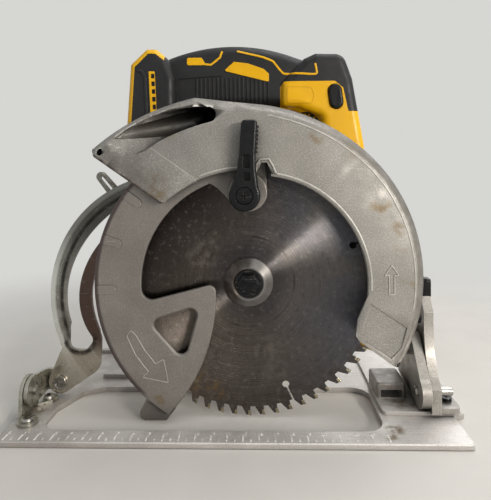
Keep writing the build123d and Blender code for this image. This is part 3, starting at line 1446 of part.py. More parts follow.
def grip_outline(inset):
    """Side outline of the grip with its finger opening, shrunk by an inset."""
    with BuildSketch() as side:
        with BuildLine():
            ThreePointArc(GRIP_REAR, GRIP_TOP, GRIP_FRONT)
            Polyline(
                GRIP_FRONT,
                (62, 246),
                (75, 222),
                (77, 180),
                (66, 148),
                (44, 118),
                (-18, 112),
                (-52, 146),
                (-78, 172),
                (-78, 240),
                GRIP_REAR,
            )
        make_face()
        fillet(side.vertices(), 10)
        with BuildLine():
            Polyline(
                (-50, 211),
                (-40, 216.5),
                (20, 216),
                (34, 214),
                (51, 207),
                (52, 190),
                (34, 180),
                (-16, 176),
                (-46, 186),
                close=True,
            )
        make_face(mode=Mode.SUBTRACT)
        hole = side.vertices().filter_by_position(Axis.X, -51, 53).filter_by_position(Axis.Y, 175, 217)
        fillet(hole, 5.5)
        if inset > 0:
            offset(amount=-inset)
    return side.sketch


def front_outline(inset):
    """Side outline of the front block, from the hump down to the motor."""
    with BuildSketch() as side:
        with BuildLine():
            Polyline(
                (42, 251.5),
                (50.5, 255.2),
                (71, 254.5),
                (77.5, 236),
                (86.2, 184),
                (72, 146),
                (46, 118),
                (34, 150),
                (40, 179),
                (55, 189),
                (54, 209),
                (37, 216),
                (24.6, 216.5),
                (25, 234),
                close=True,
            )
        make_face()
        fillet(side.vertices().filter_by_position(Axis.X, 70.5, 71.5), 9)
        fillet(side.vertices().filter_by_position(Axis.X, 85, 87), 14)
        fillet(side.vertices().filter_by_position(Axis.X, 24, 26), 3.5)
        fillet(side.vertices().filter_by_position(Axis.X, 53.5, 55.5), 5)
        if inset > 0:
            offset(amount=-inset)
    return side.sketch


def rear_outline(inset):
    """Side outline of the battery block."""
    with BuildSketch() as side:
        with BuildLine():
            Polyline(
                (-92.5, 168),
                (-85.8, 248.5),
                (-73.5, 259.8),
                (-66.3, 259.4),
                (-58, 252),
                (-53, 238),
                (-53, 176),
                (-61, 168),
                close=True,
            )
        make_face()
        fillet(side.vertices(), 3)
        if inset > 0:
            offset(amount=-inset)
    return side.sketch


def rounded_slab(outline, half_depth, side, rounding):
    """Half of a slab on one side of the parting plane, with its outer edges rounded."""
    with BuildPart() as slab:
        with BuildSketch(at_y(HANDLE_MID)):
            add(outline)
        extrude(amount=-side * half_depth)
        outer = slab.faces().sort_by(Axis.Y)[0 if side < 0 else -1]
        if rounding > 0:
            fillet(outer.edges(), rounding)
    return slab.part


def handle_half(side, inset):
    """One half of the handle, solid, shrunk by an inset."""
    grip = rounded_slab(grip_outline(inset), GRIP_HALF - inset, side, 9 - inset)
    front = rounded_slab(front_outline(inset), FRONT_HALF - inset, side, 6 - inset)
    rear = rounded_slab(rear_outline(inset), REAR_HALF - inset, side, 5.5 - inset)
    with BuildPart() as half:
        add(grip)
        add(front)
        add(rear)
    return half.part


def rubber_field():
    """Region of the handle that is covered with rubber, through its whole width."""
    with BuildPart() as field:
        with BuildSketch(at_y(HANDLE_MID + 40)):
            with BuildLine():
                Polyline(
                    (-86.5, 190),
                    (-82, 246),
                    (-71.8, 255.6),
                    (-66.8, 255.4),
                    (-60.5, 250.5),
                    (-58, 275),
                    (100, 275),
                    (100, 211.8),
                    (73.6, 211.8),
                    (70, 229),
                    (64, 234),
                    (27, 234.4),
                    (24.2, 231),
                    (24.0, 190),
                    close=True,
                )
            make_face()
        extrude(amount=80)
    return field.part


def rear_x(z):
    """Where the sloping rear face of the battery block lies at a height."""
    return -92.5 + (z - 168) * (92.5 - 85.8) / (248.5 - 168)


def battery_pocket():
    """Space that the rails of a battery slide into, open at the bottom."""
    low = 150
    high = 238
    with BuildPart() as pocket:
        with BuildSketch(at_y(HANDLE_MID + 20)):
            with BuildLine():
                Polyline(
                    (rear_x(low) - 8, low),
                    (rear_x(low) + 9, low),
                    (rear_x(high) + 9, high),
                    (rear_x(high) - 8, high),
                    close=True,
                )
            make_face()
        extrude(amount=40)
        with BuildSketch(at_y(HANDLE_MID + 23)):
            with BuildLine():
                Polyline(
                    (rear_x(low) + 3.5, low),
                    (rear_x(low) + 7, low),
                    (rear_x(high) + 7, high),
                    (rear_x(high) + 3.5, high),
                    close=True,
                )
            make_face()
        extrude(amount=46)
    return pocket.part


def drive_space():
    """Room for the gear case and the motor drum below the handle."""
    around_case = case_outline(0.4)
    with BuildPart() as space:
        with BuildSketch(at_y(CASE_END_Y + 0.4)):
            add(around_case)
        extrude(amount=CASE_END_Y)
        with BuildSketch(at_y(CAP_END_Y + 5)):
            with Locations((MOTOR_X, MOTOR_Z)):
                Circle(MOTOR_R + 0.4)
        extrude(amount=CAP_END_Y - CASE_END_Y + 5)
    return space.part


# Openings for the lock-off button and the trigger
BUTTON = (64.4, 222.6)
TRIGGER_X = (2.0, 30.0)


def control_space():
    """Openings for the lock-off button on the blade side and the trigger under the grip."""
    with BuildPart() as space:
        with BuildSketch(at_y(HANDLE_MID)):
            with Locations(Location((BUTTON[0], BUTTON[1], 0), (0, 0, 97))):
                SlotOverall(18.8, 10.4)
        extrude(amount=40)
        with BuildSketch(at_y(HANDLE_MID + 8.6)):
            with Locations(((TRIGGER_X[0] + TRIGGER_X[1]) / 2, 216)):
                Rectangle(TRIGGER_X[1] - TRIGGER_X[0] + 1.2, 26)
        extrude(amount=17.2)
    return space.part


pocket_part = battery_pocket()
drive_part = drive_space()
control_part = control_space()
field_part = rubber_field()

# Right half of the handle, on the blade side, and its rubber skin
full_right = handle_half(-1, 0)
core_right = handle_half(-1, RUBBER_THICK)
with BuildPart() as right_rubber:
    add(full_right)
    add(core_right, mode=Mode.SUBTRACT)
    add(field_part, mode=Mode.INTERSECT)
    add(pocket_part, mode=Mode.SUBTRACT)
    add(control_part, mode=Mode.SUBTRACT)
right_rubber.part.label = "right_rubber"
export_step(right_rubber.part, "parts/right_rubber.step")
print("right rubber", len(right_rubber.solids()), round(right_rubber.part.volume))

grip_room = rounded_slab(grip_outline(SHELL_INSET), GRIP_HALF - SHELL_INSET, -1, 0)
front_room = rounded_slab(front_outline(SHELL_INSET), FRONT_HALF - SHELL_INSET, -1, 0)
with BuildPart() as right_shell:
    add(full_right)
    add(grip_room, mode=Mode.SUBTRACT)
    add(front_room, mode=Mode.SUBTRACT)
    add(pocket_part, mode=Mode.SUBTRACT)
    add(drive_part, mode=Mode.SUBTRACT)
    add(control_part, mode=Mode.SUBTRACT)
    add(right_rubber.part, mode=Mode.SUBTRACT)
right_shell.part.label = "right_shell"
export_step(right_shell.part, "parts/right_shell.step")
print("right shell", len(right_shell.solids()), round(right_shell.part.volume))

# Left half of the handle, on the motor side, with its rubber skin and screw pockets
full_left = handle_half(1, 0)
core_left = handle_half(1, RUBBER_THICK)
left_grip_room = rounded_slab(grip_outline(SHELL_INSET), GRIP_HALF - SHELL_INSET, 1, 0)
left_front_room = rounded_slab(front_outline(SHELL_INSET), FRONT_HALF - SHELL_INSET, 1, 0)
with BuildPart() as left_rubber:
    add(full_left)
    add(core_left, mode=Mode.SUBTRACT)
    add(field_part, mode=Mode.INTERSECT)
    add(pocket_part, mode=Mode.SUBTRACT)
    add(control_part, mode=Mode.SUBTRACT)
left_rubber.part.label = "left_rubber"
export_step(left_rubber.part, "parts/left_rubber.step")

# Screws on the motor side: depth of the face they sit in, and their places
GRIP_SCREWS = [(-62.5, 181), (-30, 166), (61, 170), (76, 200)]
SCREW_FACE = {0: REAR_HALF, 1: GRIP_HALF, 2: FRONT_HALF, 3: FRONT_HALF}
with BuildPart() as left_shell:
    add(full_left)
    add(left_grip_room, mode=Mode.SUBTRACT)
    add(left_front_room, mode=Mode.SUBTRACT)
    add(pocket_part, mode=Mode.SUBTRACT)
    add(drive_part, mode=Mode.SUBTRACT)
    add(control_part, mode=Mode.SUBTRACT)
    add(left_rubber.part, mode=Mode.SUBTRACT)
    for number, place in enumerate(GRIP_SCREWS):
        with BuildSketch(at_y(HANDLE_MID + SCREW_FACE[number] + 1)):
            with Locations(place):
                Circle(3.6)
        extrude(amount=4, mode=Mode.SUBTRACT)
left_shell.part.label = "left_shell"
export_step(left_shell.part, "parts/left_shell.step")
print("left rubber", len(left_rubber.solids()), "left shell", len(left_shell.solids()))

# Screws that hold the two handle halves together
with BuildPart() as handle_screws:
    for number, place in enumerate(GRIP_SCREWS):
        with BuildSketch(at_y(HANDLE_MID + SCREW_FACE[number] - 1)):
            with Locations(place):
                Circle(3.3)
                RegularPolygon(radius=1.6, side_count=6, mode=Mode.SUBTRACT)
        extrude(amount=2)
handle_screws.part.label = "handle_screws"
export_step(handle_screws.part, "parts/handle_screws.step")

# Lock-off button on the blade side of the front block
with BuildPart() as lock_off:
    with BuildSketch(at_y(HANDLE_MID - FRONT_HALF + 8)):
        with Locations(Location((BUTTON[0], BUTTON[1], 0), (0, 0, 97))):
            SlotOverall(18, 9.6)
    extrude(amount=10.5)
    fillet(lock_off.faces().sort_by(Axis.Y)[0].edges(), 1.6)
lock_off.part.label = "lock_off"
export_step(lock_off.part, "parts/lock_off.step")

# Trigger under the grip, with a hollow for the finger
with BuildPart() as trigger:
    with BuildSketch(at_y(HANDLE_MID + 8)):
        with BuildLine():
            Polyline(
                (TRIGGER_X[0], 222),
                (TRIGGER_X[1], 222),
                (TRIGGER_X[1], 208),
                (TRIGGER_X[1] - 4, 203),
                (TRIGGER_X[0] + 10, 206.5),
                (TRIGGER_X[0], 212),
                close=True,
            )
        make_face()
    extrude(amount=16)
    fillet(trigger.edges().filter_by(Axis.Y).group_by(Axis.Z)[0], 2)
trigger.part.label = "trigger"
export_step(trigger.part, "parts/trigger.step")

# Switch body inside the grip
with BuildPart() as switch_body:
    with BuildSketch(at_y(HANDLE_MID + 9)):
        with Locations((16, 239)):
            RectangleRounded(32, 18, 1.5)
    extrude(amount=18)
switch_body.part.label = "switch_body"
export_step(switch_body.part, "parts/switch_body.step")

# Control module of the brushless motor, in the front leg
with BuildPart() as control_module:
    with BuildSketch(at_y(HANDLE_MID + 14)):
        with Locations(Location((69, 188, 0), (0, 0, 8))):
            RectangleRounded(12, 30, 1)
    extrude(amount=28)
control_module.part.label = "control_module"
export_step(control_module.part, "parts/control_module.step")

# Battery terminal block on the floor of the pocket, with its contact blades
with BuildPart() as terminal_block:
    with BuildSketch(at_y(HANDLE_MID + 11)):
        with BuildLine():
            Polyline(
                (rear_x(196) + 5, 196),
                (rear_x(196) + 9, 196),
                (rear_x(232) + 9, 232),
                (rear_x(232) + 5, 232),
                close=True,
            )
        make_face()
    extrude(amount=22)
terminal_block.part.label = "terminal_block"
export_step(terminal_block.part, "parts/terminal_block.step")

with BuildPart() as contact_blades:
    for place in range(5):
        with BuildSketch(at_y(HANDLE_MID - 8 + place * 4 + 0.4)):
            with BuildLine():
                Polyline(
                    (rear_x(200) + 0.6, 200),
                    (rear_x(200) + 5, 200),
                    (rear_x(222) + 5, 222),
                    (rear_x(222) + 0.6, 222),
                    close=True,
                )
            make_face()
        extrude(amount=0.8)
contact_blades.part.label = "contact_blades"
export_step(contact_blades.part, "parts/contact_blades.step")

# Three screws in the motor end cap
with BuildPart() as cap_screws:
    with BuildSketch(at_y(CAP_END_Y - 3)):
        with Locations(*cap_points):
            Circle(1.8)
    extrude(amount=8)
cap_screws.part.label = "cap_screws"
export_step(cap_screws.part, "parts/cap_screws.step")

# Three screws that hold bearing plate and gear case on the guard, heads inside the drum
with BuildPart() as case_screws:
    with BuildSketch(at_y(FLANGE_END_Y - 0.5)):
        with Locations(*case_screw_places):
            Circle(2.1)
    extrude(amount=FLANGE_END_Y - 0.5 - GUARD_BACK_Y + 3)
    with BuildSketch(at_y(GUARD_BACK_Y - 3)):
        with Locations(*case_screw_places):
            Circle(3.8)
    extrude(amount=2)
case_screws.part.label = "case_screws"
export_step(case_screws.part, "parts/case_screws.step")
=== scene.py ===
import math

import bmesh
import bpy
from mathutils import Matrix, Vector
from mathutils.bvhtree import BVHTree


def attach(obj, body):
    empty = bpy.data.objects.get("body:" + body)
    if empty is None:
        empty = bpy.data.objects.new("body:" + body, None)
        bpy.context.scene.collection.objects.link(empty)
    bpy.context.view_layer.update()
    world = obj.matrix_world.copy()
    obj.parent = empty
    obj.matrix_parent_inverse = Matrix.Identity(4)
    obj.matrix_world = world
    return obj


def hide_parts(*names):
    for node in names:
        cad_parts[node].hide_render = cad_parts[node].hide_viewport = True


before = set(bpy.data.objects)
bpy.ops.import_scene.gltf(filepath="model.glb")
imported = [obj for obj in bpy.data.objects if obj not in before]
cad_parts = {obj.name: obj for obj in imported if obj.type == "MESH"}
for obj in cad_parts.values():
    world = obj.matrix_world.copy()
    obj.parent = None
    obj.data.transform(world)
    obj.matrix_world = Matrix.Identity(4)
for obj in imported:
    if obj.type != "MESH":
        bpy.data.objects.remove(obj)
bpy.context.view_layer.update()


# Shoe: one flat aluminium die casting with the blade opening, a raised pad and the rip fence bridge.
# Its sole and top are linished lengthways, and years of boards have scuffed and stained it.
MM = 0.001
BRIDGE_BOX = ((88.6, 110.4), (13.6, 40.4), (7.2, 30.0))
BRIDGE_BLUR = 0.5
OILY_END_X = (-20, -140)
SHOE_STAINS = [
    ((92, -20, 4), 9), ((88, -29, 4), 7), ((105, 10, 6.5), 14), ((118, 50, 6), 18), ((-150, 0, 4), 12),
]


def linear(code):
    """Linear colour of an sRGB hex code."""
    parts = [int(code[i:i + 2], 16) / 255 for i in (1, 3, 5)]
    return [p / 12.92 if p <= 0.04045 else ((p + 0.055) / 1.055) ** 2.4 for p in parts] + [1.0]


def add(tree, kind, settings=None, values=None, links=None):
    """Add one node with its settings, its input values and the links that come in."""
    node = tree.nodes.new(kind)
    for name, value in (settings or {}).items():
        setattr(node, name, value)
    for socket, value in (values or {}).items():
        node.inputs[socket].default_value = value
    for socket, source in (links or {}).items():
        tree.links.new(source, node.inputs[socket])
    return node


def start_finish(name, **sockets):
    """A new material: its tree, its shader with fixed sockets, and Object coordinates."""
    material = bpy.data.materials.new(name)
    material.use_nodes = True
    tree = material.node_tree
    tree.nodes.clear()
    shader = add(tree, "ShaderNodeBsdfPrincipled", values=sockets)
    add(tree, "ShaderNodeOutputMaterial", links={"Surface": shader.outputs[0]})
    place = add(tree, "ShaderNodeTexCoord").outputs["Object"]
    return material, tree, shader, place


def speckle(tree, place, size, detail=2.0, stretch=None, turn=0.0):
    """Uneven tone whose grains are about one size in millimetres, stretched along an axis if asked."""
    if stretch:
        drawn_out = {"Scale": stretch, "Rotation": (0, turn, 0)}
        place = add(tree, "ShaderNodeMapping", values=drawn_out, links={"Vector": place}).outputs[0]
    grain = {"Scale": 1 / (size * MM), "Detail": detail}
    return add(tree, "ShaderNodeTexNoise", values=grain, links={"Vector": place}).outputs["Fac"]


def between(value, start, end, *shades):
    """Part of a mask that turns from black to white between two places in millimetres."""
    return (value, start * MM, end * MM, *shades)


def mask(tree, *parts, strength=1.0):
    """White where every part is white. A part is a mask, or a value with the two ends of its ramp
    and, where they aren't black and white, the two shades that the ramp has there."""
    whole = None
    smooth = {"interpolation_type": "SMOOTHSTEP"}
    product = {"operation": "MULTIPLY"}
    for part in parts:
        if isinstance(part, tuple):
            value, start, end, *shades = part
            first, last = shades or (0.0, 1.0)
            ramp = {"From Min": start, "From Max": end, "To Min": first, "To Max": last}
            part = add(tree, "ShaderNodeMapRange", smooth, ramp, {"Value": value}).outputs[0]
        if whole:
            part = add(tree, "ShaderNodeMath", product, links={0: whole, 1: part}).outputs[0]
        whole = part
    if strength < 1.0:
        whole = add(tree, "ShaderNodeMath", product, {1: strength}, {0: whole}).outputs[0]
    return whole


def coat(tree, under, over, *parts, strength=1.0):
    """One colour laid over another where a mask is white; each colour is a hex code or a socket."""
    amount = mask(tree, *parts, strength=strength)
    laid = add(tree, "ShaderNodeMix", {"data_type": "RGBA"}, links={0: amount})
    for socket, colour in ((6, under), (7, over)):
        if isinstance(colour, str):
            laid.inputs[socket].default_value = linear(colour)
        else:
            tree.links.new(colour, laid.inputs[socket])
    return laid.outputs[2]


def paint(tree, shader, colour, rough):
    """Give a shader its colour, and its roughness as a ramp over some value."""
    tree.links.new(colour, shader.inputs["Base Color"])
    tree.links.new(mask(tree, rough), shader.inputs["Roughness"])


def soften(tree, shader, radius, grain=None, strength=0.0, depth=0.0):
    """Round the edges by a radius in millimetres, and raise a grain by a depth if there is one."""
    normal = add(tree, "ShaderNodeBevel", {"samples": 4}, {"Radius": radius * MM}).outputs[0]
    if grain:
        raised = {"Strength": strength, "Distance": depth * MM}
        bump = add(tree, "ShaderNodeBump", values=raised, links={"Height": grain, "Normal": normal})
        normal = bump.outputs[0]
    tree.links.new(normal, shader.inputs["Normal"])


def edge_mask(tree, reach):
    """White along outer edges, within a reach in millimetres."""
    inner = {"samples": 6, "inside": True, "only_local": True}
    shade = add(tree, "ShaderNodeAmbientOcclusion", inner, {"Distance": reach * MM})
    return mask(tree, (shade.outputs["AO"], 0.62, 0.3))


def corner_mask(tree, reach):
    """White in inner corners and gaps, within a reach in millimetres."""
    shade = add(tree, "ShaderNodeAmbientOcclusion", {"samples": 6}, {"Distance": reach * MM})
    return mask(tree, (shade.outputs["AO"], 0.75, 0.25))


def stain_mask(tree, place, spots):
    """White in blotchy spots, each a centre and a radius in millimetres."""
    total = None
    for centre, radius in spots:
        middle = [c * MM for c in centre]
        apart = add(tree, "ShaderNodeVectorMath", {"operation": "DISTANCE"}, {1: middle}, {0: place})
        spot = mask(tree, between(apart.outputs["Value"], radius, 0.3 * radius))
        if total:
            spot = add(tree, "ShaderNodeMath", {"operation": "MAXIMUM"}, links={0: total, 1: spot}).outputs[0]
        total = spot
    return mask(tree, total, (speckle(tree, place, size=5.5, detail=6.0), 0.40, 0.66))


def cast_alloy(
    name, tones, worn, metallic, roughness, grain,
    brushed=None, spots=(), corner_dirt_and_shade=0.5, bare=1.0, reach=1.1, own_marks=None,
):
    """Die-cast light alloy: slow cloudy tones, a fine sand grain, bare worn edges, stains, dirt and painted
    shade in the corners, and painted shade in deep hollows.
    """
    material, tree, shader, place = start_finish(name, Metallic=metallic)
    colour = coat(tree, *tones, (speckle(tree, place, size=22.0, detail=3.0), 0.3, 0.7))
    # The sand grain of a casting is finer than this; it is drawn as coarse as it needs to show
    fine = speckle(tree, place, size=grain, detail=3.0)
    colour = coat(tree, colour, worn, (fine, 0.52, 0.72), strength=0.24)
    colour = coat(tree, colour, "#4a463f", (fine, 0.47, 0.28), strength=0.38)
    if brushed:
        lines = speckle(tree, place, size=brushed, detail=2.0, stretch=(0.02, 1, 1))
        colour = coat(tree, colour, worn, (lines, 0.52, 0.75), strength=0.45)
    scuffs = speckle(tree, place, size=0.9, detail=2.0, stretch=(0.05, 1, 1), turn=0.6)
    colour = coat(tree, colour, worn, (scuffs, 0.70, 0.78), strength=0.5)
    scores = speckle(tree, place, size=1.1, detail=3.0, stretch=(1, 1, 0.06), turn=-0.5)
    colour = coat(tree, colour, "#4a453f", (scores, 0.71, 0.8), strength=0.45)
    uneven_patches = (speckle(tree, place, size=5.0, detail=4.0), 0.3, 0.6, 0.25, 1.0)
    colour = coat(tree, colour, worn, edge_mask(tree, reach), uneven_patches, strength=bare)
    # Dirt and painted contact shade in the corners, then painted shade that darkens deep hollows such as the
    # chute
    colour = coat(tree, colour, "#35302a", corner_mask(tree, reach=4.0), strength=corner_dirt_and_shade)
    colour = coat(tree, colour, "#171411", corner_mask(tree, reach=28.0), strength=min(1.0, corner_dirt_and_shade * 1.35))
    if spots:
        colour = coat(tree, colour, "#715e3e", stain_mask(tree, place, spots), strength=0.85)
    if own_marks:
        for tone, amount in own_marks(tree, place):
            colour = coat(tree, colour, tone, amount)
    uneven = speckle(tree, place, size=7.0, detail=4.0)
    paint(tree, shader, colour, (uneven, 0.3, 0.7, roughness - 0.08, roughness + 0.1))
    soften(tree, shader, radius=0.5, grain=fine, strength=0.35, depth=0.05)
    return material


def dress(material, *nodes):
    """Give carried-over parts of the frame their finish."""
    for node in nodes:
        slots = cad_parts[node].data.materials
        slots.clear()
        slots.append(material)


def shoe_marks(tree, place):
    """Oily rear end, and dull raw skin on the fence bridge, which the linishing belt doesn't reach."""
    axes = add(tree, "ShaderNodeSeparateXYZ", links={0: place}).outputs
    smeared = (speckle(tree, place, size=18.0, detail=4.0), 0.3, 0.6, 0.3, 0.6)
    oily = mask(tree, between(axes[0], *OILY_END_X), smeared)
    sides = []
    for axis, (low, high) in zip(axes, BRIDGE_BOX):
        sides += [between(axis, low - BRIDGE_BLUR, low), between(axis, high + BRIDGE_BLUR, high)]
    patchy = (speckle(tree, place, size=6.0, detail=4.0), 0.3, 0.65, 0.6, 0.9)
    return [("#857f79", oily), ("#67625b", mask(tree, *sides, patchy))]


# Linished cast aluminium: pale, streaked lengthways, with brown dust stains by the front
linished_cast = cast_alloy(
    "linished_cast_aluminium", ("#cecac6", "#dcd8d4"), "#f6f3ee", metallic=0.35, roughness=0.40, grain=0.6,
    brushed=0.6, spots=SHOE_STAINS, own_marks=shoe_marks,
)
dress(linished_cast, "shoe")


# Ruler on the near edge of the shoe: long marks every ten millimetres, short ones half way.
# The marks are stamped, and drawn a hair proud of the casting so that they show.
# Plain numbers count the centimetres.
SHOE_TOP = 4.0
SHOE_NEAR = -36.5
RULER_START = -154.0
RULER_PITCH = 10.0
RULER_MARKS = 25
LONG_MARK = 6.0
SHORT_MARK = 2.6
MARK_INSET = 2.0
MARK_WIDE = 0.9
MARK_HIGH = 0.16
MARK_SUNK = 0.02
FIGURE_SIZE = 3.8
FIGURE_INSET = 8.6
FIGURE_SHIFT = 0.6
SHARP = math.radians(35)


def row_tree():
    """Repeats a mesh in a row, sets the row at a start and gives it its finish."""
    tree = bpy.data.node_groups.new("copies_in_a_row", "GeometryNodeTree")
    sockets = {
        "Geometry": "NodeSocketGeometry", "Count": "NodeSocketInt", "Step": "NodeSocketVector",
        "Start": "NodeSocketVector", "Finish": "NodeSocketMaterial",
    }
    for name, kind in sockets.items():
        tree.interface.new_socket(name, in_out="INPUT", socket_type=kind)
    tree.interface.new_socket("Geometry", in_out="OUTPUT", socket_type="NodeSocketGeometry")
    given = add(tree, "NodeGroupInput").outputs
    places = {"Count": given["Count"], "Offset": given["Step"], "Start Location": given["Start"]}
    line = add(tree, "GeometryNodeMeshLine", {"mode": "OFFSET"}, links=places)
    units = {"Points": line.outputs[0], "Instance": given["Geometry"]}
    row = add(tree, "GeometryNodeInstanceOnPoints", links=units)
    solid = add(tree, "GeometryNodeRealizeInstances", links={"Geometry": row.outputs[0]})
    finished = {"Geometry": solid.outputs[0], "Material": given["Finish"]}
    finish = add(tree, "GeometryNodeSetMaterial", links=finished)
    add(tree, "NodeGroupOutput", links={"Geometry": finish.outputs[0]})
    return tree


in_a_row = row_tree()


def in_scene(name, data):
    """A new object in the scene."""
    holder = bpy.data.objects.new(name, data)
    bpy.context.scene.collection.objects.link(holder)
    return holder


def as_mesh(holder):
    """Plain mesh of an object as its modifiers or its text make it; the object goes."""
    mesh = bpy.data.meshes.new_from_object(holder.evaluated_get(bpy.context.evaluated_depsgraph_get()))
    holder.modifiers.clear()
    bpy.data.objects.remove(holder)
    return mesh


def repeated(unit, count, step, start, finish):
    """Mesh of a unit repeated in a row; sizes in millimetres."""
    holder = in_scene("unit", unit)
    modifier = holder.modifiers.new("copies", "NODES")
    modifier.node_group = in_a_row
    given = {"Count": count, "Finish": finish}
    given["Step"] = [s * MM for s in step]
    given["Start"] = [s * MM for s in start]
    for item in in_a_row.interface.items_tree:
        if item.in_out == "INPUT" and item.name in given:
            modifier[item.identifier] = given[item.name]
    return as_mesh(holder)


def plain_mesh(shape, name):
    """Mesh of a shape, which is then let go."""
    mesh = bpy.data.meshes.new(name)
    shape.to_mesh(mesh)
    shape.free()
    return mesh


def block(size, centre=(0, 0, 0)):
    """Mesh of one rectangular block, in millimetres."""
    shape = bmesh.new()
    bmesh.ops.create_cube(shape, size=1.0)
    for corner in shape.verts:
        corner.co = Vector([(c * s + m) * MM for c, s, m in zip(corner.co, size, centre)])
    return plain_mesh(shape, "block")


def joined(meshes, name):
    """One mesh made of several."""
    shape = bmesh.new()
    for mesh in meshes:
        shape.from_mesh(mesh)
    bmesh.ops.recalc_face_normals(shape, faces=shape.faces)
    return plain_mesh(shape, name)


def shade(mesh):
    """Smooth shading that breaks at sharp edges."""
    mesh.polygons.foreach_set("use_smooth", [True] * len(mesh.polygons))
    mesh.set_sharp_from_angle(angle=SHARP)


def put(name, mesh, finish, body, slot, *nodes):
    """Place a finished mesh as a piece that rides on a body; the slot is not used."""
    mesh.materials.clear()
    mesh.materials.append(finish)
    mesh.polygons.foreach_set("material_index", [0] * len(mesh.polygons))
    if not mesh.has_custom_normals:
        shade(mesh)
    piece = in_scene(name, mesh)
    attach(piece, body)
    if nodes:
        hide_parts(*nodes)


def stamped_scale():
    """Stamped scale: bare bright edges, with dust in between."""
    material, tree, shader, place = start_finish("stamped_scale_marks", Metallic=0.2)
    speckled_mask = mask(tree, (speckle(tree, place, size=2.5, detail=3.0), 0.35, 0.65))
    paint(tree, shader, coat(tree, "#d2cfca", "#fffefb", speckled_mask), (speckled_mask, 0, 1, 0.5, 0.75))
    return material


scale_finish = stamped_scale()
ruler = []
for length, shift, count in ((LONG_MARK, 0.0, RULER_MARKS), (SHORT_MARK, RULER_PITCH / 2, RULER_MARKS - 1)):
    mark = block((MARK_WIDE, length, MARK_HIGH), (0, length / 2, MARK_HIGH / 2 - MARK_SUNK))
    first = (RULER_START + shift, SHOE_NEAR + MARK_INSET, SHOE_TOP)
    ruler.append(repeated(mark, count, (RULER_PITCH, 0, 0), first, scale_finish))
for number in range(RULER_MARKS):
    figures = bpy.data.curves.new("figures", "FONT")
    figures.body = str(number)
    figures.size = FIGURE_SIZE * MM
    figures.align_x = "CENTER"
    figures.extrude = MARK_HIGH / 2 * MM
    digits = as_mesh(in_scene("figures", figures))
    along = RULER_START + number * RULER_PITCH + FIGURE_SHIFT
    spot = Vector((along, SHOE_NEAR + FIGURE_INSET, SHOE_TOP + MARK_HIGH / 2 - MARK_SUNK)) * MM
    digits.transform(Matrix.Translation(spot))
    ruler.append(digits)
put("shoe_ruler", joined(ruler, "shoe_ruler"), scale_finish, "shoe", "cast_shoe")


# Front quadrant, trunnion and bevel pivots: cast and turned pieces that tilt the saw on its shoe.
# The quadrant is screwed to the pad, and the trunnion swings behind it on a steel pin.

# Tumbled cast aluminium: grey and sandy, with pale edges and brown dust about the foot
plain_cast = cast_alloy(
    "tumbled_cast_aluminium", ("#9a9690", "#aca8a2"), "#dedbd5", metallic=0.5, roughness=0.40, grain=0.8,
    spots=[((123, 20, 30), 16), ((116, 30, 12), 12)],
)
dress(plain_cast, "bevel_quadrant", "front_trunnion")


def metal(name, colours, roughness, blotch, metallic=1.0, edge="#d8d8d4", corner_dirt_and_shade=0.5):
    """Bare or plated steel: a blotchy tone, fine scratches, bright edges, and dirt with painted contact shade
    in corners.
    """
    material, tree, shader, place = start_finish(name, Metallic=metallic)
    colour = coat(tree, *colours, (speckle(tree, place, size=blotch, detail=4.0), 0.35, 0.65))
    scratch = speckle(tree, place, size=0.5, detail=2.0, stretch=(0.08, 1, 1), turn=0.4)
    colour = coat(tree, colour, edge, (scratch, 0.62, 0.75), strength=0.4)
    colour = coat(tree, colour, edge, edge_mask(tree, reach=0.6), strength=0.7)
    # Dirt and painted contact shade in the corners
    colour = coat(tree, colour, "#2a2622", corner_mask(tree, reach=3.0), strength=corner_dirt_and_shade)
    uneven = speckle(tree, place, size=blotch * 0.6, detail=3.0)
    paint(tree, shader, colour, (uneven, 0.3, 0.7, roughness - 0.07, roughness + 0.1))
    soften(tree, shader, radius=0.3)
    return material


# Turned bright steel: white reflections with fine scratches
bright_steel = metal("turned_bright_steel", ("#93918c", "#aeaca7"), roughness=0.28, blotch=6.0)
dress(
    bright_steel, "bevel_pin", "depth_pivot_pin", "bevel_stud", "bevel_washer", "clamp_bolt", "clamp_washer",
    "bracket_rivet", "rear_rivets", "rear_bevel_rivet", "spindle", "motor_shaft", "drive_gear",
    "spindle_bearing", "motor_bearings", "guard_ring", "guard_spring",
)
# Black oxide screws: near black, with a soft oily gloss and bare corners
black_oxide = metal(
    "black_oxide_steel", ("#1e1e20", "#2a2a2c"), roughness=0.30, blotch=4.0, metallic=0.9, edge="#8f8c87",
    corner_dirt_and_shade=0.35,
)
dress(
    black_oxide, "quadrant_screws", "cap_screws", "case_screws", "handle_screws", "blade_bolt", "lever_screw",
)


def moulded(name, colours, dust, grain, depth, roughness, dusting, wear, gloss=0.3):
    """Injection moulding: an eroded tool texture, dust that settles in it, and polished edges."""
    material, tree, shader, place = start_finish(name, **{"IOR": 1.53, "Specular IOR Level": gloss})
    colour = coat(tree, *colours, (speckle(tree, place, size=30.0, detail=2.0), 0.35, 0.65))
    # The texture of the tool is finer than this; it is drawn as coarse as it needs to show
    fine = speckle(tree, place, size=grain, detail=3.0)
    drifts = (speckle(tree, place, size=9.0, detail=5.0), 0.45, 0.75)
    colour = coat(tree, colour, dust, drifts, (fine, 0.4, 0.65), strength=dusting)
    colour = coat(tree, colour, dust, edge_mask(tree, reach=0.9), strength=wear)
    # Dirt and painted contact shade in the corners
    colour = coat(tree, colour, "#1a1816", corner_mask(tree, reach=3.0), strength=0.45)
    uneven = speckle(tree, place, size=6.0, detail=4.0)
    paint(tree, shader, colour, (uneven, 0.3, 0.7, roughness - 0.06, roughness + 0.1))
    soften(tree, shader, radius=0.4, grain=fine, strength=0.4, depth=depth)
    return material


# Glass-filled nylon: black, fine spark-eroded texture, dull gloss
black_nylon = moulded(
    "moulded_black_nylon", ("#08090b", "#0e0f12"), "#615d58",
    grain=0.8, depth=0.04, roughness=0.30, dusting=0.07, wear=0.24, gloss=0.22,
)
dress(black_nylon, "bevel_lever")


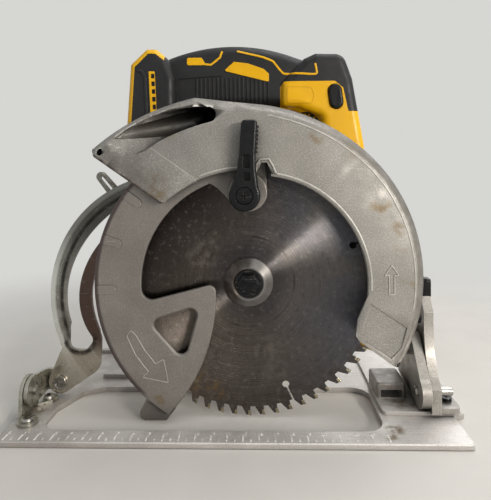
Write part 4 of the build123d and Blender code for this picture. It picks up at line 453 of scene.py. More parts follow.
# Rear bracket, link and depth bracket: sheet steel, pressed, zinc plated and riveted together.
# The plating is dull and greenish where it has aged, and bright along the sheared edges.
# A pair of heights (Z) or radii (R) says where a mark starts and where it is full; four make a ring.
BRACKET_CENTRE = (-57, 78)
SHADED_HALF_Z = (85, 135)
LIT_HALF_Z = (135, 85)
INNER_EDGE_R = (70.5, 68.5)
SLOT_RUNS_R = ((79.5, 80.5, 81.8, 83.2), (68.5, 69.5, 70.2, 71.2))
ROLLED_RIM_R = (85.2, 87.5)
DRY_FOOT_Z = (48, 30)
SLOT_FOOT = (-125.2, 47.5)
SLOT_FOOT_RING = (8.5, 10.0, 11.5, 13.5)
SLOT_FOOT_Z = (54, 44)
# Zinc plated sheet: grey with a yellowish cast, blotchy, and bright on its edges
zinc_sheet = metal(
    "aged_zinc_plated_sheet", ("#96948a", "#aeaca2"), roughness=0.32, blotch=5.0, metallic=0.95,
    edge="#e6e4da", corner_dirt_and_shade=0.55,
)
dress(zinc_sheet, "rear_bracket", "rear_link")
# The same plating on the strip that fingers lift: darker and dull
dull_zinc = metal(
    "dull_zinc_plated_strip", ("#67655e", "#7d7b73"), roughness=0.36, blotch=4.0, metallic=0.95,
    edge="#c9c7be", corner_dirt_and_shade=0.55,
)
dress(dull_zinc, "depth_lever")


def spot_at(tree, place, centre):
    """Distance from a level line across the saw, through a centre given as X and Z in millimetres."""
    flat = add(tree, "ShaderNodeVectorMath", {"operation": "MULTIPLY"}, {1: (1, 0, 1)}, {0: place})
    middle = (centre[0] * MM, 0, centre[1] * MM)
    apart = add(tree, "ShaderNodeVectorMath", {"operation": "DISTANCE"}, {1: middle}, {0: flat.outputs[0]})
    return apart.outputs["Value"]


def ring(radius, inner, inner_full, outer_full, outer):
    """Two parts of a mask that is white between two radii in millimetres and fades on both sides."""
    return between(radius, inner, inner_full), between(radius, outer, outer_full)


def rolled_zinc():
    """Plated bracket: painted shade on top and painted highlight on the lower rim; greasy slot runs, brown
    inner edge, dry pale foot.
    """
    material, tree, shader, place = start_finish("rolled_zinc_plated_bracket", Metallic=0.95)
    radius = spot_at(tree, place, BRACKET_CENTRE)
    height = add(tree, "ShaderNodeSeparateXYZ", links={0: place}).outputs[2]
    blotch = mask(tree, (speckle(tree, place, size=9.0, detail=4.0), 0.35, 0.65))
    colour = coat(tree, "#77756e", "#8e8c85", blotch)
    # Painted shade over the upper part
    colour = coat(tree, colour, "#3b3934", between(height, *SHADED_HALF_Z), strength=0.85)
    colour = coat(tree, colour, "#54453f", between(radius, *INNER_EDGE_R))
    wavy = mask(tree, (speckle(tree, place, size=6.0, detail=3.0), 0.25, 0.6, 0.45, 1.0))
    for run in SLOT_RUNS_R:
        colour = coat(tree, colour, "#211e1b", *ring(radius, *run), wavy, strength=0.85)
    rim = between(radius, *ROLLED_RIM_R)
    # Painted highlight on the rolled rim, strongest on the lower part
    colour = coat(tree, colour, "#d9dad4", rim, between(height, *LIT_HALF_Z, 0.18, 0.85))
    colour = coat(tree, colour, "#b3aa9b", between(height, *DRY_FOOT_Z), strength=0.75)
    foot_ring = ring(spot_at(tree, place, SLOT_FOOT), *SLOT_FOOT_RING)
    colour = coat(tree, colour, "#1d1a18", *foot_ring, between(height, *SLOT_FOOT_Z), wavy, strength=0.9)
    scratch = speckle(tree, place, size=0.6, detail=2.0, stretch=(0.08, 1, 1), turn=1.2)
    colour = coat(tree, colour, "#dcd9d0", (scratch, 0.66, 0.76), strength=0.35)
    bare_edges = edge_mask(tree, reach=0.6)
    # Bare sheared edges, with a painted highlight that makes them brighter on the lower part
    colour = coat(tree, colour, "#e0ddd4", bare_edges, between(height, *LIT_HALF_Z, 0.15, 0.6))
    paint(tree, shader, colour, (blotch, 0, 1, 0.22, 0.34))
    soften(tree, shader, radius=0.5)
    return material


dress(rolled_zinc(), "depth_bracket")


# Upper guard: a magnesium die casting with a bevelled rim, the blade window and the dust chute.
# It is lacquered silver, sandy to the touch, and rubbed bare along the rim and the window.
NOSE_X = -90.6
FACE_SKIN_Y = (-16.5, -17.6)
HEEL_LINE = (-0.5804, 0, -0.8143)
HEEL_WEAR = (-91.1, -89.7)
HEEL_END_X = (-50, -56)
HEEL_SKIN_Y = (-15, -17)
CHUTE_ARC, CHUTE_ARC_R = (-30.5, 122.0), 89.0
CHUTE_BLUR = 1.2
CHUTE_NEAR_Y, CHUTE_FAR_Y = (-17.2, -15.0), (14.0, 12.0)
CHUTE_FLOOR_Z = (172, 176)
CHUTE_END_X = (-10, -13)
CHUTE_DEEP_X = (-74, -34)
CHUTE_SHADE_Y = (-14.0, -8.5)
SHADED_LEFT_X = (-40, -72)
RIM_CENTRE = (1.7, 98.43)
RIM_BEVEL_R = (106, 107)
RIM_DUST_AND_SHADE_X = (30, 70)
WELD, CUT_SLACK, CUT_WELD = 0.002, 0.005, 0.05


def graded(tree, place, direction, start, end):
    """Part of a mask that turns from black to white along a direction, between places in millimetres."""
    along = add(tree, "ShaderNodeVectorMath", {"operation": "DOT_PRODUCT"}, {1: direction}, {0: place})
    return between(along.outputs["Value"], start, end)


def guard_marks(tree, place):
    """Painted shade and brown heel wear at the left, dust and painted shade on the right rim, painted shade in
    the chute.
    """
    x, y, z = add(tree, "ShaderNodeSeparateXYZ", links={0: place}).outputs
    # Painted shade over the left end of the face, in uneven patches
    uneven_patches = (speckle(tree, place, size=12.0, detail=3.0), 0.2, 0.7, 0.2, 0.6)
    shaded_left = mask(tree, between(x, *SHADED_LEFT_X), uneven_patches, between(y, *FACE_SKIN_Y))
    # Dust with painted shade on the rim bevel towards the right
    rim = between(spot_at(tree, place, RIM_CENTRE), *RIM_BEVEL_R)
    drifts = (speckle(tree, place, size=7.0, detail=4.0), 0.3, 0.65, 0.35, 0.8)
    speckled_mask = mask(tree, rim, between(x, *RIM_DUST_AND_SHADE_X), drifts)
    heel = graded(tree, place, HEEL_LINE, *HEEL_WEAR), between(x, *HEEL_END_X), between(y, *HEEL_SKIN_Y)
    worn = mask(tree, *heel, (speckle(tree, place, size=4.0, detail=4.0), 0.3, 0.6, 0.35, 0.95))
    # Painted shade inside the chute: darker towards its back, near black towards its inner end
    wall = between(spot_at(tree, place, CHUTE_ARC), CHUTE_ARC_R + CHUTE_BLUR, CHUTE_ARC_R)
    sides = between(y, *CHUTE_NEAR_Y), between(y, *CHUTE_FAR_Y)
    inside = mask(tree, wall, *sides, between(z, *CHUTE_FLOOR_Z), between(x, *CHUTE_END_X))
    upper = mask(tree, inside, between(y, *CHUTE_SHADE_Y, 0.0, 0.75))
    deep = mask(tree, inside, between(x, *CHUTE_DEEP_X))
    outside = [("#55504b", shaded_left), ("#6b665e", speckled_mask), ("#3f2f28", worn)]
    return outside + [("#3a352f", upper), ("#0c0b0a", deep)]


# Silver lacquer on a sandy casting: a grey sparkle, bare bright edges and brown stains on the face
lacquered_cast = cast_alloy(
    "silver_lacquered_casting", ("#83807b", "#908d88"), "#e4e1db", metallic=0.35, roughness=0.46, grain=0.9,
    spots=[
        ((-60, -19, 159), 13), ((85, -18, 144), 10), ((95, -17, 131), 7), ((103, -14, 98), 9),
        ((45, -17, 190), 7), ((97, -12, 118), 9), ((-48, -18, 194), 7), ((66, -14, 180), 8),
    ],
    corner_dirt_and_shade=0.7, reach=2.0, own_marks=guard_marks,
)


def one_casting(name, cut_x, *nodes):
    """Mesh of neighbouring pieces that are one casting: joined, without the faces of the cut between them."""
    shape = bmesh.new()
    for node in nodes:
        shape.from_mesh(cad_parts[node].data)
    bmesh.ops.remove_doubles(shape, verts=shape.verts, dist=WELD * MM)
    cut = [f for f in shape.faces if all(abs(v.co.x - cut_x * MM) < CUT_SLACK * MM for v in f.verts)]
    bmesh.ops.delete(shape, geom=cut, context="FACES")
    rim = [v for v in shape.verts if v.is_boundary]
    bmesh.ops.remove_doubles(shape, verts=rim, dist=CUT_WELD * MM)
    bmesh.ops.holes_fill(shape, edges=[e for e in shape.edges if e.is_boundary], sides=0)
    bmesh.ops.recalc_face_normals(shape, faces=shape.faces)
    mesh = plain_mesh(shape, name)
    shade(mesh)
    holder = in_scene(name, mesh)
    even = holder.modifiers.new("flat_faces_stay_flat", "WEIGHTED_NORMAL")
    even.keep_sharp = True
    even.weight = 100
    return as_mesh(holder)


whole_guard = one_casting("upper_guard_casting", NOSE_X, "upper_guard", "chute_nose")
put("upper_guard_casting", whole_guard, lacquered_cast, "saw_body", "cast_guard", "upper_guard", "chute_nose")


# Cast marks on the upper guard: an arrow for the blade's turn, a ridge along the rim, the window's bead.
# They are part of the casting and carry the same lacquer, rubbed bare on their crests.
GUARD_FACE = -18.0
LINE_STEP = 2.0
CORNER_POINTS, CORNER_SHARE = 6, 0.45
ARROW_WIDE = 0.9
GUARD_ARROW_CORNER, GUARD_ARROW_HIGH = 0.4, 0.45
GUARD_ARROW = [
    (91.5, 108), (96, 101.5), (93.2, 101.5), (93.2, 89.5), (89.8, 89.5), (89.8, 101.5), (87, 101.5),
]
NOTCH_CORNER, NOTCH_WIDE, NOTCH_HIGH = 1.0, 1.5, 0.7
NOTCH_EDGE = [(5.8, 168.2), (6.4, 173.0), (8.8, 176.6), (14.2, 176.9), (16.8, 172.6), (18.8, 167.4)]
RIDGE_ARCS = ((RIM_CENTRE, 104.8, -10, 48.9), ((-6.77, 88.72), 117.68, 50, 80))
RIM_RIDGE_WIDE, RIM_RIDGE_HIGH = 0.9, 0.2
WINDOW_ARC = ((6.14, 95.86), 72.7, 79.5, -3)
REAR_ARC = ((-1.8, 94.87), 77.0, 85, 112)
BEAD_WIDE, WINDOW_BEAD_HIGH, REAR_BEAD_HIGH = 1.3, 0.35, 0.3


def rounded(corners, radius, closed=True):
    """Outline as X and Z in millimetres, with corners rounded over no more than a share of each side."""
    result = []
    count = len(corners)
    for i, corner in enumerate(corners):
        here = Vector(corner)
        if not closed and i in (0, count - 1):
            result.append(here)
            continue
        before = Vector(corners[i - 1]) - here
        after = Vector(corners[(i + 1) % count]) - here
        half = before.angle(after) / 2
        reach = min(radius / math.tan(half), CORNER_SHARE * before.length, CORNER_SHARE * after.length)
        start = here + before.normalized() * reach
        end = here + after.normalized() * reach
        for k in range(CORNER_POINTS):
            t = k / (CORNER_POINTS - 1)
            result.append(start * (1 - t) ** 2 + here * 2 * t * (1 - t) + end * t ** 2)
    return result


def spaced(line, step, closed=True):
    """The same line with more points, none further apart than a step in millimetres."""
    result = []
    ends = line[1:] + line[:1] if closed else line[1:]
    for a, b in zip(line, ends):
        cuts = max(1, math.ceil((b - a).length / step))
        result += [a.lerp(b, k / cuts) for k in range(cuts)]
    return result if closed else result + [line[-1]]


def smooth_line(corners, radius, step, closed=True):
    """Line with rounded corners whose points are no further apart than a step in millimetres."""
    return spaced(rounded(corners, radius, closed), step, closed)


def arc(centre, radius, start, end, step=1.5):
    """Points along an arc about a centre, from one angle to another and a step apart, in degrees."""
    steps = max(2, round(abs(end - start) / step))
    angles = [math.radians(start + (end - start) * k / steps) for k in range(steps + 1)]
    return [Vector((centre[0] + radius * math.cos(a), centre[1] + radius * math.sin(a))) for a in angles]


def ribbon(line, width, height, sunk=0.5, closed=False):
    """Raised line of even width along points, as a mesh whose Y is the height above its carrier."""
    shape = bmesh.new()
    rings = []
    count = len(line)
    shoulder = 0.55 * height
    section = [(-0.5, -sunk), (-0.5, shoulder), (-0.3, height), (0.3, height), (0.5, shoulder), (0.5, -sunk)]
    for i, here in enumerate(line):
        before = line[i - 1] if closed or i > 0 else here
        after = line[(i + 1) % count] if closed or i < count - 1 else here
        along = (after - before).normalized()
        across = Vector((-along.y, along.x)) * width
        spots = [(here.x + across.x * w, h, here.y + across.y * w) for w, h in section]
        rings.append([shape.verts.new(Vector(spot) * MM) for spot in spots])
    pairs = list(zip(rings, rings[1:] + rings[:1])) if closed else list(zip(rings, rings[1:]))
    for first, second in pairs:
        for k in range(len(section)):
            n = (k + 1) % len(section)
            shape.faces.new((first[k], first[n], second[n], second[k]))
    if not closed:
        shape.faces.new(rings[0])
        shape.faces.new(rings[-1][::-1])
    bmesh.ops.recalc_face_normals(shape, faces=shape.faces)
    return plain_mesh(shape, "ribbon")


def on_plane(mesh, y):
    """Turn heights into places on an upright plane that faces the blade side."""
    for corner in mesh.vertices:
        corner.co.y = y * MM - corner.co.y
    mesh.flip_normals()
    return mesh


arrow_line = smooth_line(GUARD_ARROW, GUARD_ARROW_CORNER, LINE_STEP)
notch_line = smooth_line(NOTCH_EDGE, NOTCH_CORNER, LINE_STEP, closed=False)
ridge_line = arc(*RIDGE_ARCS[0]) + arc(*RIDGE_ARCS[1])
marks = [
    ribbon(arrow_line, ARROW_WIDE, GUARD_ARROW_HIGH, closed=True),
    ribbon(notch_line, NOTCH_WIDE, NOTCH_HIGH),
    ribbon(ridge_line, RIM_RIDGE_WIDE, RIM_RIDGE_HIGH),
    ribbon(arc(*WINDOW_ARC), BEAD_WIDE, WINDOW_BEAD_HIGH),
    ribbon(arc(*REAR_ARC), BEAD_WIDE, REAR_BEAD_HIGH),
]
# The same lacquer where hands and boards rub the raised lines: paler, with little bare metal
guard_lines = cast_alloy(
    "rubbed_lines_of_the_guard", ("#9c9993", "#aaa7a1"), "#dddad4", metallic=0.35, roughness=0.44, grain=0.9,
    bare=0.35,
)
cast_marks = on_plane(joined(marks, "guard_cast_marks"), GUARD_FACE)
put("guard_cast_marks", cast_marks, guard_lines, "saw_body", "cast_guard")


# Lower guard: a die-cast crescent that closes round the blade, with a triangular window.
# It is tumbled and left bare, darker than the upper guard, with cast tabs and an arrow.
ARBOR = (0, 94)
CRESCENT_RIM_R = (99.5, 101.2)
CRESCENT_TIP_Z = (18, 24)
LOWER_FACE = -10.0
LOWER_ARROW_CORNER, LOWER_ARROW_HIGH = 0.8, 0.4
LOWER_ARROW = [
    (-81.8, 60.3), (-78.8, 63.8), (-75.3, 60.3), (-69.8, 50.5), (-62.8, 41.5), (-57.3, 44.6), (-54.3, 28.9),
    (-71.7, 32.5), (-67.7, 36.3), (-76.1, 47.5),
]


def crescent_marks(tree, place):
    """Dark brown line where the outer edge of the crescent has rubbed on sawdust."""
    rim = between(spot_at(tree, place, ARBOR), *CRESCENT_RIM_R)
    height = add(tree, "ShaderNodeSeparateXYZ", links={0: place}).outputs[2]
    return [("#37292a", mask(tree, rim, between(height, *CRESCENT_TIP_Z, 0.0, 0.85)))]


# Bare tumbled casting: warm dark grey, finely pitted, with bright edges
tumbled_cast = cast_alloy(
    "tumbled_dark_casting", ("#746f6a", "#7f7a75"), "#d6d2cb", metallic=0.4, roughness=0.42, grain=0.45,
    spots=[((-60, -10, 18), 7)], corner_dirt_and_shade=0.6, own_marks=crescent_marks,
)
dress(tumbled_cast, "lower_guard")
# Raised lines of the same casting, rubbed paler
cast_lines = cast_alloy(
    "relief_lines_of_the_casting", ("#8a857f", "#96918b"), "#c9c5be", metallic=0.4, roughness=0.44, grain=0.8,
    bare=0.3,
)
lower_line = smooth_line(LOWER_ARROW, LOWER_ARROW_CORNER, LINE_STEP)
lower_arrow = ribbon(lower_line, ARROW_WIDE, LOWER_ARROW_HIGH, closed=True)
put("lower_guard_arrow", on_plane(lower_arrow, LOWER_FACE), cast_lines, "lower_guard", "lower_cast")


# Guard lever: a black moulded thumb lever screwed to the lower guard, ribbed for the thumb.
# The ribs are moulded on the side that the thumb pushes.
THUMB_RIB = (1.4, 6.0, 1.3)
THUMB_RIBS = 7
THUMB_RIB_STEP = (0.165, 0, 2.6)
THUMB_RIB_FIRST = (6.6, -25.2, 181.0)
dress(black_nylon, "guard_lever")
thumb_ribs = repeated(block(THUMB_RIB), THUMB_RIBS, THUMB_RIB_STEP, THUMB_RIB_FIRST, black_nylon)
put("guard_lever_ribs", thumb_ribs, black_nylon, "lower_guard", "black_abs")


# Saw blade: tensioned steel plate, ground in circles, with brazed carbide tips and relief slots.
# The grinding draws bright streaks out from the bolt; resin and rust have browned the lower edge.
BLUED_SIDE, BLUED = (1, 0, 0.3), (-30, 80)
SHADED_SIDE, SHADED = (-1, 0, 1), (0, 111.1)
HUB_R = (34, 20)
RESIN_R = (70, 90)
WORN_RING_R = (30.0, 30.6, 31.0, 31.8)
RUST_SPOTS = [((-34, 0, 24), 12), ((-22, 0, 20), 9), ((-44, 0, 40), 8)]
SMEAR_SPOTS = [((-32, 0, 112), 14), ((-24, 0, 120), 10), ((12, 0, 48), 14), ((18, 0, 32), 12)]


def ground_rings(tree, place, pitch, detail):
    """Way and distance from the arbor, and the rings of a tool round it with a pitch in millimetres."""
    middle = (ARBOR[0] * MM, 0, ARBOR[1] * MM)
    way = add(tree, "ShaderNodeVectorMath", {"operation": "SUBTRACT"}, {1: middle}, {0: place}).outputs[0]
    radius = add(tree, "ShaderNodeVectorMath", {"operation": "LENGTH"}, links={0: way}).outputs["Value"]
    # Real tool marks are finer than this; they are drawn as coarse as they need to show
    rings = {"Scale": 1 / (pitch * MM), "Detail": detail}
    lines = add(tree, "ShaderNodeTexNoise", {"noise_dimensions": "1D"}, rings, {"W": radius})
    return way, radius, lines.outputs["Fac"]


def ground_plate():
    """Circular ground steel: streaks turn round the arbor, with heat tints and resin stains."""
    material, tree, shader, place = start_finish("circular_ground_blade_steel", Metallic=1.0, Anisotropic=1.0)
    way, radius, rings = ground_rings(tree, place, pitch=0.5, detail=4.0)
    tree.links.new(way, shader.inputs["Tangent"])
    colour = coat(tree, "#574f49", "#53545b", graded(tree, way, BLUED_SIDE, *BLUED))
    clouds = speckle(tree, place, size=40.0, detail=3.0)
    colour = coat(tree, colour, "#67615a", (clouds, 0.4, 0.65), strength=0.5)
    colour = coat(tree, colour, "#7a7671", (rings, 0.45, 0.7), strength=0.35)
    colour = coat(tree, colour, "#34343a", between(radius, *HUB_R), strength=0.5)
    colour = coat(tree, colour, "#241d1e", graded(tree, way, SHADED_SIDE, *SHADED), strength=0.8)
    resin = between(radius, *RESIN_R), (speckle(tree, place, size=6.0, detail=5.0), 0.45, 0.65)
    colour = coat(tree, colour, "#4a3d2e", *resin, strength=0.5)
    colour = coat(tree, colour, "#7d6642", stain_mask(tree, place, RUST_SPOTS), strength=0.6)
    colour = coat(tree, colour, "#8f867d", stain_mask(tree, place, SMEAR_SPOTS), strength=0.3)
    mottle = speckle(tree, place, size=3.5, detail=6.0)
    colour = coat(tree, colour, "#262224", (mottle, 0.48, 0.30), strength=0.22)
    colour = coat(tree, colour, "#8d8982", (mottle, 0.55, 0.72), strength=0.22)
    broken = (speckle(tree, place, size=14.0, detail=6.0), 0.45, 0.65)
    colour = coat(tree, colour, "#1b191c", *ring(radius, *WORN_RING_R), broken, strength=0.55)
    specks = speckle(tree, place, size=1.5, detail=3.0)
    colour = coat(tree, colour, "#a89f90", (specks, 0.68, 0.76), strength=0.5)
    paint(tree, shader, colour, (rings, 0.3, 0.7, 0.31, 0.39))
    raised = {"Strength": 1.0, "Distance": 0.2 * MM}
    bump = add(tree, "ShaderNodeBump", values=raised, links={"Height": rings})
    tree.links.new(bump.outputs[0], shader.inputs["Normal"])
    return material


dress(ground_plate(), "blade")
# Sintered carbide with a little brass-coloured braze: small bright facets
carbide = metal(
    "ground_carbide_with_braze", ("#8f8a7e", "#b3a888"), roughness=0.28, blotch=1.6, edge="#f0ead8",
    corner_dirt_and_shade=0.4,
)
dress(carbide, "blade_tips")


# Flanges: two turned steel washers that grip the blade on its spindle, held by the blade bolt.
# The blade has burnished them, and painted shade in a brownish tone darkens their left side.
FLANGE_SHADE_SIDE, FLANGE_SHADE = (-1, 0, 0.2), (-3, 9)


def turned_flange():
    """Steel turned on a lathe: fine rings round the arbor, with light fanning out across them."""
    material, tree, shader, place = start_finish("turned_flange_steel", Metallic=1.0, Anisotropic=0.8)
    flat = add(tree, "ShaderNodeVectorMath", {"operation": "MULTIPLY"}, {1: (1, 0, 1)}, {0: place})
    way, _, rings = ground_rings(tree, flat.outputs[0], pitch=0.4, detail=3.0)
    tree.links.new(way, shader.inputs["Tangent"])
    colour = coat(tree, "#7d7a77", "#95928f", (rings, 0.35, 0.65))
    patchy = (speckle(tree, place, size=5.0, detail=5.0), 0.25, 0.6, 0.6, 0.9)
    # Painted shade in a brownish tone over the left side, in patches
    colour = coat(tree, colour, "#463d37", graded(tree, way, FLANGE_SHADE_SIDE, *FLANGE_SHADE), patchy)
    colour = coat(tree, colour, "#e4e2dd", edge_mask(tree, reach=0.8), strength=0.8)
    # Dirt and painted contact shade in the corners
    colour = coat(tree, colour, "#231f1c", corner_mask(tree, reach=2.5), strength=0.7)
    paint(tree, shader, colour, (rings, 0.3, 0.7, 0.35, 0.48))
    soften(tree, shader, radius=0.4)
    return material


dress(turned_flange(), "outer_flange", "inner_flange")


# Drive train and motor: inner pieces that show only through slots and openings.
# Gear case and bearing plate are dark castings; the motor is stacked steel laminations on a ground shaft.

# Unpainted gear case casting: dull mid grey
gear_cast = cast_alloy(
    "dark_gear_case_casting", ("#6f6e6c", "#7e7d7a"), "#b9b6b0", metallic=0.55, roughness=0.5, grain=0.5,
    corner_dirt_and_shade=0.6,
)
dress(gear_cast, "bearing_plate", "gear_case")
# Stacked laminations: dark oxidised steel with a matt face
laminations = metal("stacked_motor_laminations", ("#56534f", "#66625d"), roughness=0.5, blotch=1.2)
dress(laminations, "rotor_core", "stator")
# Oily sintered bronze: a dull brownish yellow
bush_tones = ("#8a6a3c", "#a07c48")
sintered_bronze = metal("sintered_bronze_bush", bush_tones, roughness=0.45, blotch=1.5, edge="#c9a468")
dress(sintered_bronze, "spindle_bush")
# Tinned copper: pale reddish contacts, bright where the pack wipes them
contact_tones = ("#b08a5c", "#c49a68")
contact_copper = metal("tinned_copper_contacts", contact_tones, roughness=0.32, blotch=3.0, edge="#e2c49a")
dress(contact_copper, "contact_blades")
dress(black_nylon, "cooling_fan", "switch_body", "control_module", "terminal_block", "lock_button")


# Light lens: clear polycarbonate pressed into the work light holder.
# It is moulded smooth, and dust has hazed it slightly.
def clear_moulding():
    """Clear polycarbonate: see-through, slightly milky with dust."""
    glassy = {"Transmission Weight": 0.85, "IOR": 1.58}
    material, tree, shader, place = start_finish("clear_polycarbonate_lens", **glassy)
    haze = mask(tree, (speckle(tree, place, size=1.5, detail=4.0), 0.4, 0.7))
    paint(tree, shader, coat(tree, "#f1f4f6", "#d5d6d2", haze), (haze, 0, 1, 0.08, 0.3))
    return material


dress(clear_moulding(), "light_lens")


# Motor housing and end cap: moulded barrel in yellow with a black vented cap.
# Both are screwed to the gear case through the barrel.

# ABS: strong warm yellow, finely textured, with a soft sheen
yellow_abs = moulded(
    "moulded_yellow_abs", ("#dea805", "#e5af0b"), "#b08428",
    grain=0.8, depth=0.04, roughness=0.36, dusting=0.16, wear=0.12,
)
dress(yellow_abs, "motor_housing", "work_light")
dress(black_nylon, "end_cap")


# Handle halves: yellow moulded shells with a black rubber skin moulded over the grip.
# The skin wraps the grip, the battery block and the front bumper, and screws hold the halves.

# Thermoplastic rubber: dark grey and matt, with dust in its texture
black_rubber = moulded(
    "overmoulded_black_rubber", ("#131416", "#1a1b1d"), "#4f4c48",
    grain=0.7, depth=0.05, roughness=0.48, dusting=0.16, wear=0.12,
)
dress(black_rubber, "right_rubber", "left_rubber")
dress(yellow_abs, "right_shell", "left_shell")
dress(black_nylon, "lock_off", "trigger")


# Trim of the handle: yellow lines and inlays in the rubber, grip ribs, the vent strip and small frames.
# The yellow is the shell showing through the skin; ribs, ridge and pad are moulded in the rubber.
HANDLE_MID = 50.0
BESIDE_HANDLE = 60.0
TRIM_STEP, LONG_TRIM_STEP = 1.0, 1.5
ACCENT_CORNER, ACCENT_WIDE, ACCENT_HIGH = 2.5, 1.5, 0.4
ACCENT_LINES = [
    [(-31.5, 249.0), (-27.1, 248.5), (-20.2, 253.9), (-18.7, 258.6)],
    [
        (-7.5, 258.4), (12.2, 253.3), (19.2, 250.2), (23.6, 244.4), (26.8, 240.8), (47.2, 239.2),
        (51.2, 239.2), (49.8, 247.0),
    ],
]
INLAY_CELL, INLAY_SUNK, INLAY_CORNER, INLAY_SLACK = 2.0, 0.5, 1.2, 0.0001
SMALL_INLAY_HIGH, LONG_INLAY_HIGH = 0.35, 1.0
SMALL_INLAY = [(-45, 254.2), (-34, 254.0), (-30.5, 248.3), (-45, 248.6)]
LONG_INLAY = [(-17.4, 243.8), (-9.8, 250.3), (0.6, 248.8), (12.1, 244.6), (16.1, 240.9), (16.0, 234.9)]
GRIP_RIB_ENDS = (219.5, 238.5)
GRIP_RIB_WIDE, GRIP_RIB_HIGH = 1.7, 0.8
GRIP_RIB_FIRST, GRIP_RIBS, GRIP_RIB_PITCH = -38.0, 18, 3.15
BORDER_CORNER, BORDER_WIDE, BORDER_HIGH = 4.0, 1.2, 0.7
GRIP_BORDER = [(-54, 214), (-53.5, 238.6), (-27.2, 240.2), (-19, 240.4)]
STRIP_CORNER, STRIP_HIGH = 0.6, 0.5
VENT_STRIP = [(-71.6, 242.5), (-67.2, 242.5), (-65.8, 196), (-70.4, 196)]
SLOT_CORNER, SLOT_HIGH = 0.4, 0.6
VENT_SLOT = [(-1.2, -1.7), (1.2, -1.7), (1.2, 1.7), (-1.2, 1.7)]
VENT_SLOTS, VENT_STEP, VENT_FIRST = 6, (0.2, 0, -5.6), (-68.6, 0, 239.0)
RIDGE_CORNER, RIDGE_WIDE, RIDGE_HIGH = 3.5, 2.4, 1.0
BATTERY_RIDGE = [(-80.5, 243.5), (-76.6, 242.8), (-74.4, 238), (-73.2, 196)]
PAD_CENTRE, PAD_R, PAD_HIGH, PAD_STEP = (42.7, 201), 11.5, 0.6, 12
PANEL_CORNER, PANEL_WIDE, PANEL_HIGH = 2.2, 0.8, 0.3
PANEL_FRAME = [(29.4, 230.6), (47.0, 230.0), (49.2, 224), (47.2, 218.2), (29.4, 218.6)]


def half_surface(side_name):
    """Search tree over the outside of one handle half."""
    corners, faces = [], []
    for node in (f"{side_name}_rubber", f"{side_name}_shell"):
        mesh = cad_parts[node].data
        first = len(corners)
        corners += [v.co.copy() for v in mesh.vertices]
        faces += [[first + i for i in p.vertices] for p in mesh.polygons]
    return BVHTree.FromPolygons(corners, faces)


def draped(mesh, surface, side):
    """Lay a mesh on a handle half: its Y is the height above the surface there."""
    start = (HANDLE_MID + side * BESIDE_HANDLE) * MM
    for corner in mesh.vertices:
        hit = surface.ray_cast(Vector((corner.co.x, start, corner.co.z)), Vector((0, -side, 0)))[0]
        level = hit.y if hit else HANDLE_MID * MM
        corner.co.y = level + side * corner.co.y
    return joined([mesh], mesh.name)


def inlay(outline, height):
    """Flat raised field inside an outline, cut into small cells so that it can follow a surface."""
    shape = bmesh.new()
    shape.faces.new([shape.verts.new((p.x * MM, height * MM, p.y * MM)) for p in outline])
    cell, slack = INLAY_CELL * MM, INLAY_SLACK * MM
    for axis in (0, 2):
        low = min(v.co[axis] for v in shape.verts)
        high = max(v.co[axis] for v in shape.verts)
        normal = [1 if k == axis else 0 for k in range(3)]
        for k in range(1, int((high - low) / cell) + 1):
            point = [low + k * cell if i == axis else 0 for i in range(3)]
            geometry = shape.verts[:] + shape.edges[:] + shape.faces[:]
            bmesh.ops.bisect_plane(shape, geom=geometry, plane_co=point, plane_no=normal, dist=slack)
    under = bmesh.ops.extrude_face_region(shape, geom=shape.faces[:], use_keep_orig=True)
    for item in under["geom"]:
        if isinstance(item, bmesh.types.BMVert):
            item.co.y = -INLAY_SUNK * MM
    return plain_mesh(shape, "inlay")


def handle_trim():
    """Trim of one handle half before it is laid on: name, mesh, finish and slot of each piece."""
    accents = [
        inlay(rounded(SMALL_INLAY, INLAY_CORNER), SMALL_INLAY_HIGH),
        inlay(rounded(LONG_INLAY, INLAY_CORNER), LONG_INLAY_HIGH),
    ]
    for corners in ACCENT_LINES:
        accent_line = smooth_line(corners, ACCENT_CORNER, TRIM_STEP, closed=False)
        accents.append(ribbon(accent_line, ACCENT_WIDE, ACCENT_HIGH))
    rib_line = spaced([Vector((0, end)) for end in GRIP_RIB_ENDS], TRIM_STEP, closed=False)
    rib = ribbon(rib_line, GRIP_RIB_WIDE, GRIP_RIB_HIGH)
    ribs = repeated(rib, GRIP_RIBS, (GRIP_RIB_PITCH, 0, 0), (GRIP_RIB_FIRST, 0, 0), black_rubber)
    border_line = smooth_line(GRIP_BORDER, BORDER_CORNER, TRIM_STEP, closed=False)
    border = ribbon(border_line, BORDER_WIDE, BORDER_HIGH)
    strip = inlay(rounded(VENT_STRIP, STRIP_CORNER), STRIP_HIGH)
    slot_unit = inlay(rounded(VENT_SLOT, SLOT_CORNER), SLOT_HIGH)
    slots = repeated(slot_unit, VENT_SLOTS, VENT_STEP, VENT_FIRST, black_nylon)
    battery_line = smooth_line(BATTERY_RIDGE, RIDGE_CORNER, LONG_TRIM_STEP, closed=False)
    ridge = ribbon(battery_line, RIDGE_WIDE, RIDGE_HIGH)
    pad = inlay(arc(PAD_CENTRE, PAD_R, 0, 360 - PAD_STEP, PAD_STEP), PAD_HIGH)
    panel_line = smooth_line(PANEL_FRAME, PANEL_CORNER, LONG_TRIM_STEP)
    panel = ribbon(panel_line, PANEL_WIDE, PANEL_HIGH, closed=True)
    return [
        ("handle_accents", joined(accents, "handle_accents"), yellow_abs, "yellow_abs"),
        ("grip_ribs", joined([ribs, border], "grip_ribs"), black_rubber, "black_rubber"),
        ("vent_strip", strip, yellow_abs, "yellow_abs"),
        ("vent_slots", slots, black_nylon, "black_abs"),
        ("battery_ridge", ridge, black_rubber, "black_rubber"),
        ("round_pad", pad, black_rubber, "black_rubber"),
        ("panel_frame", panel, yellow_abs, "yellow_abs"),
    ]


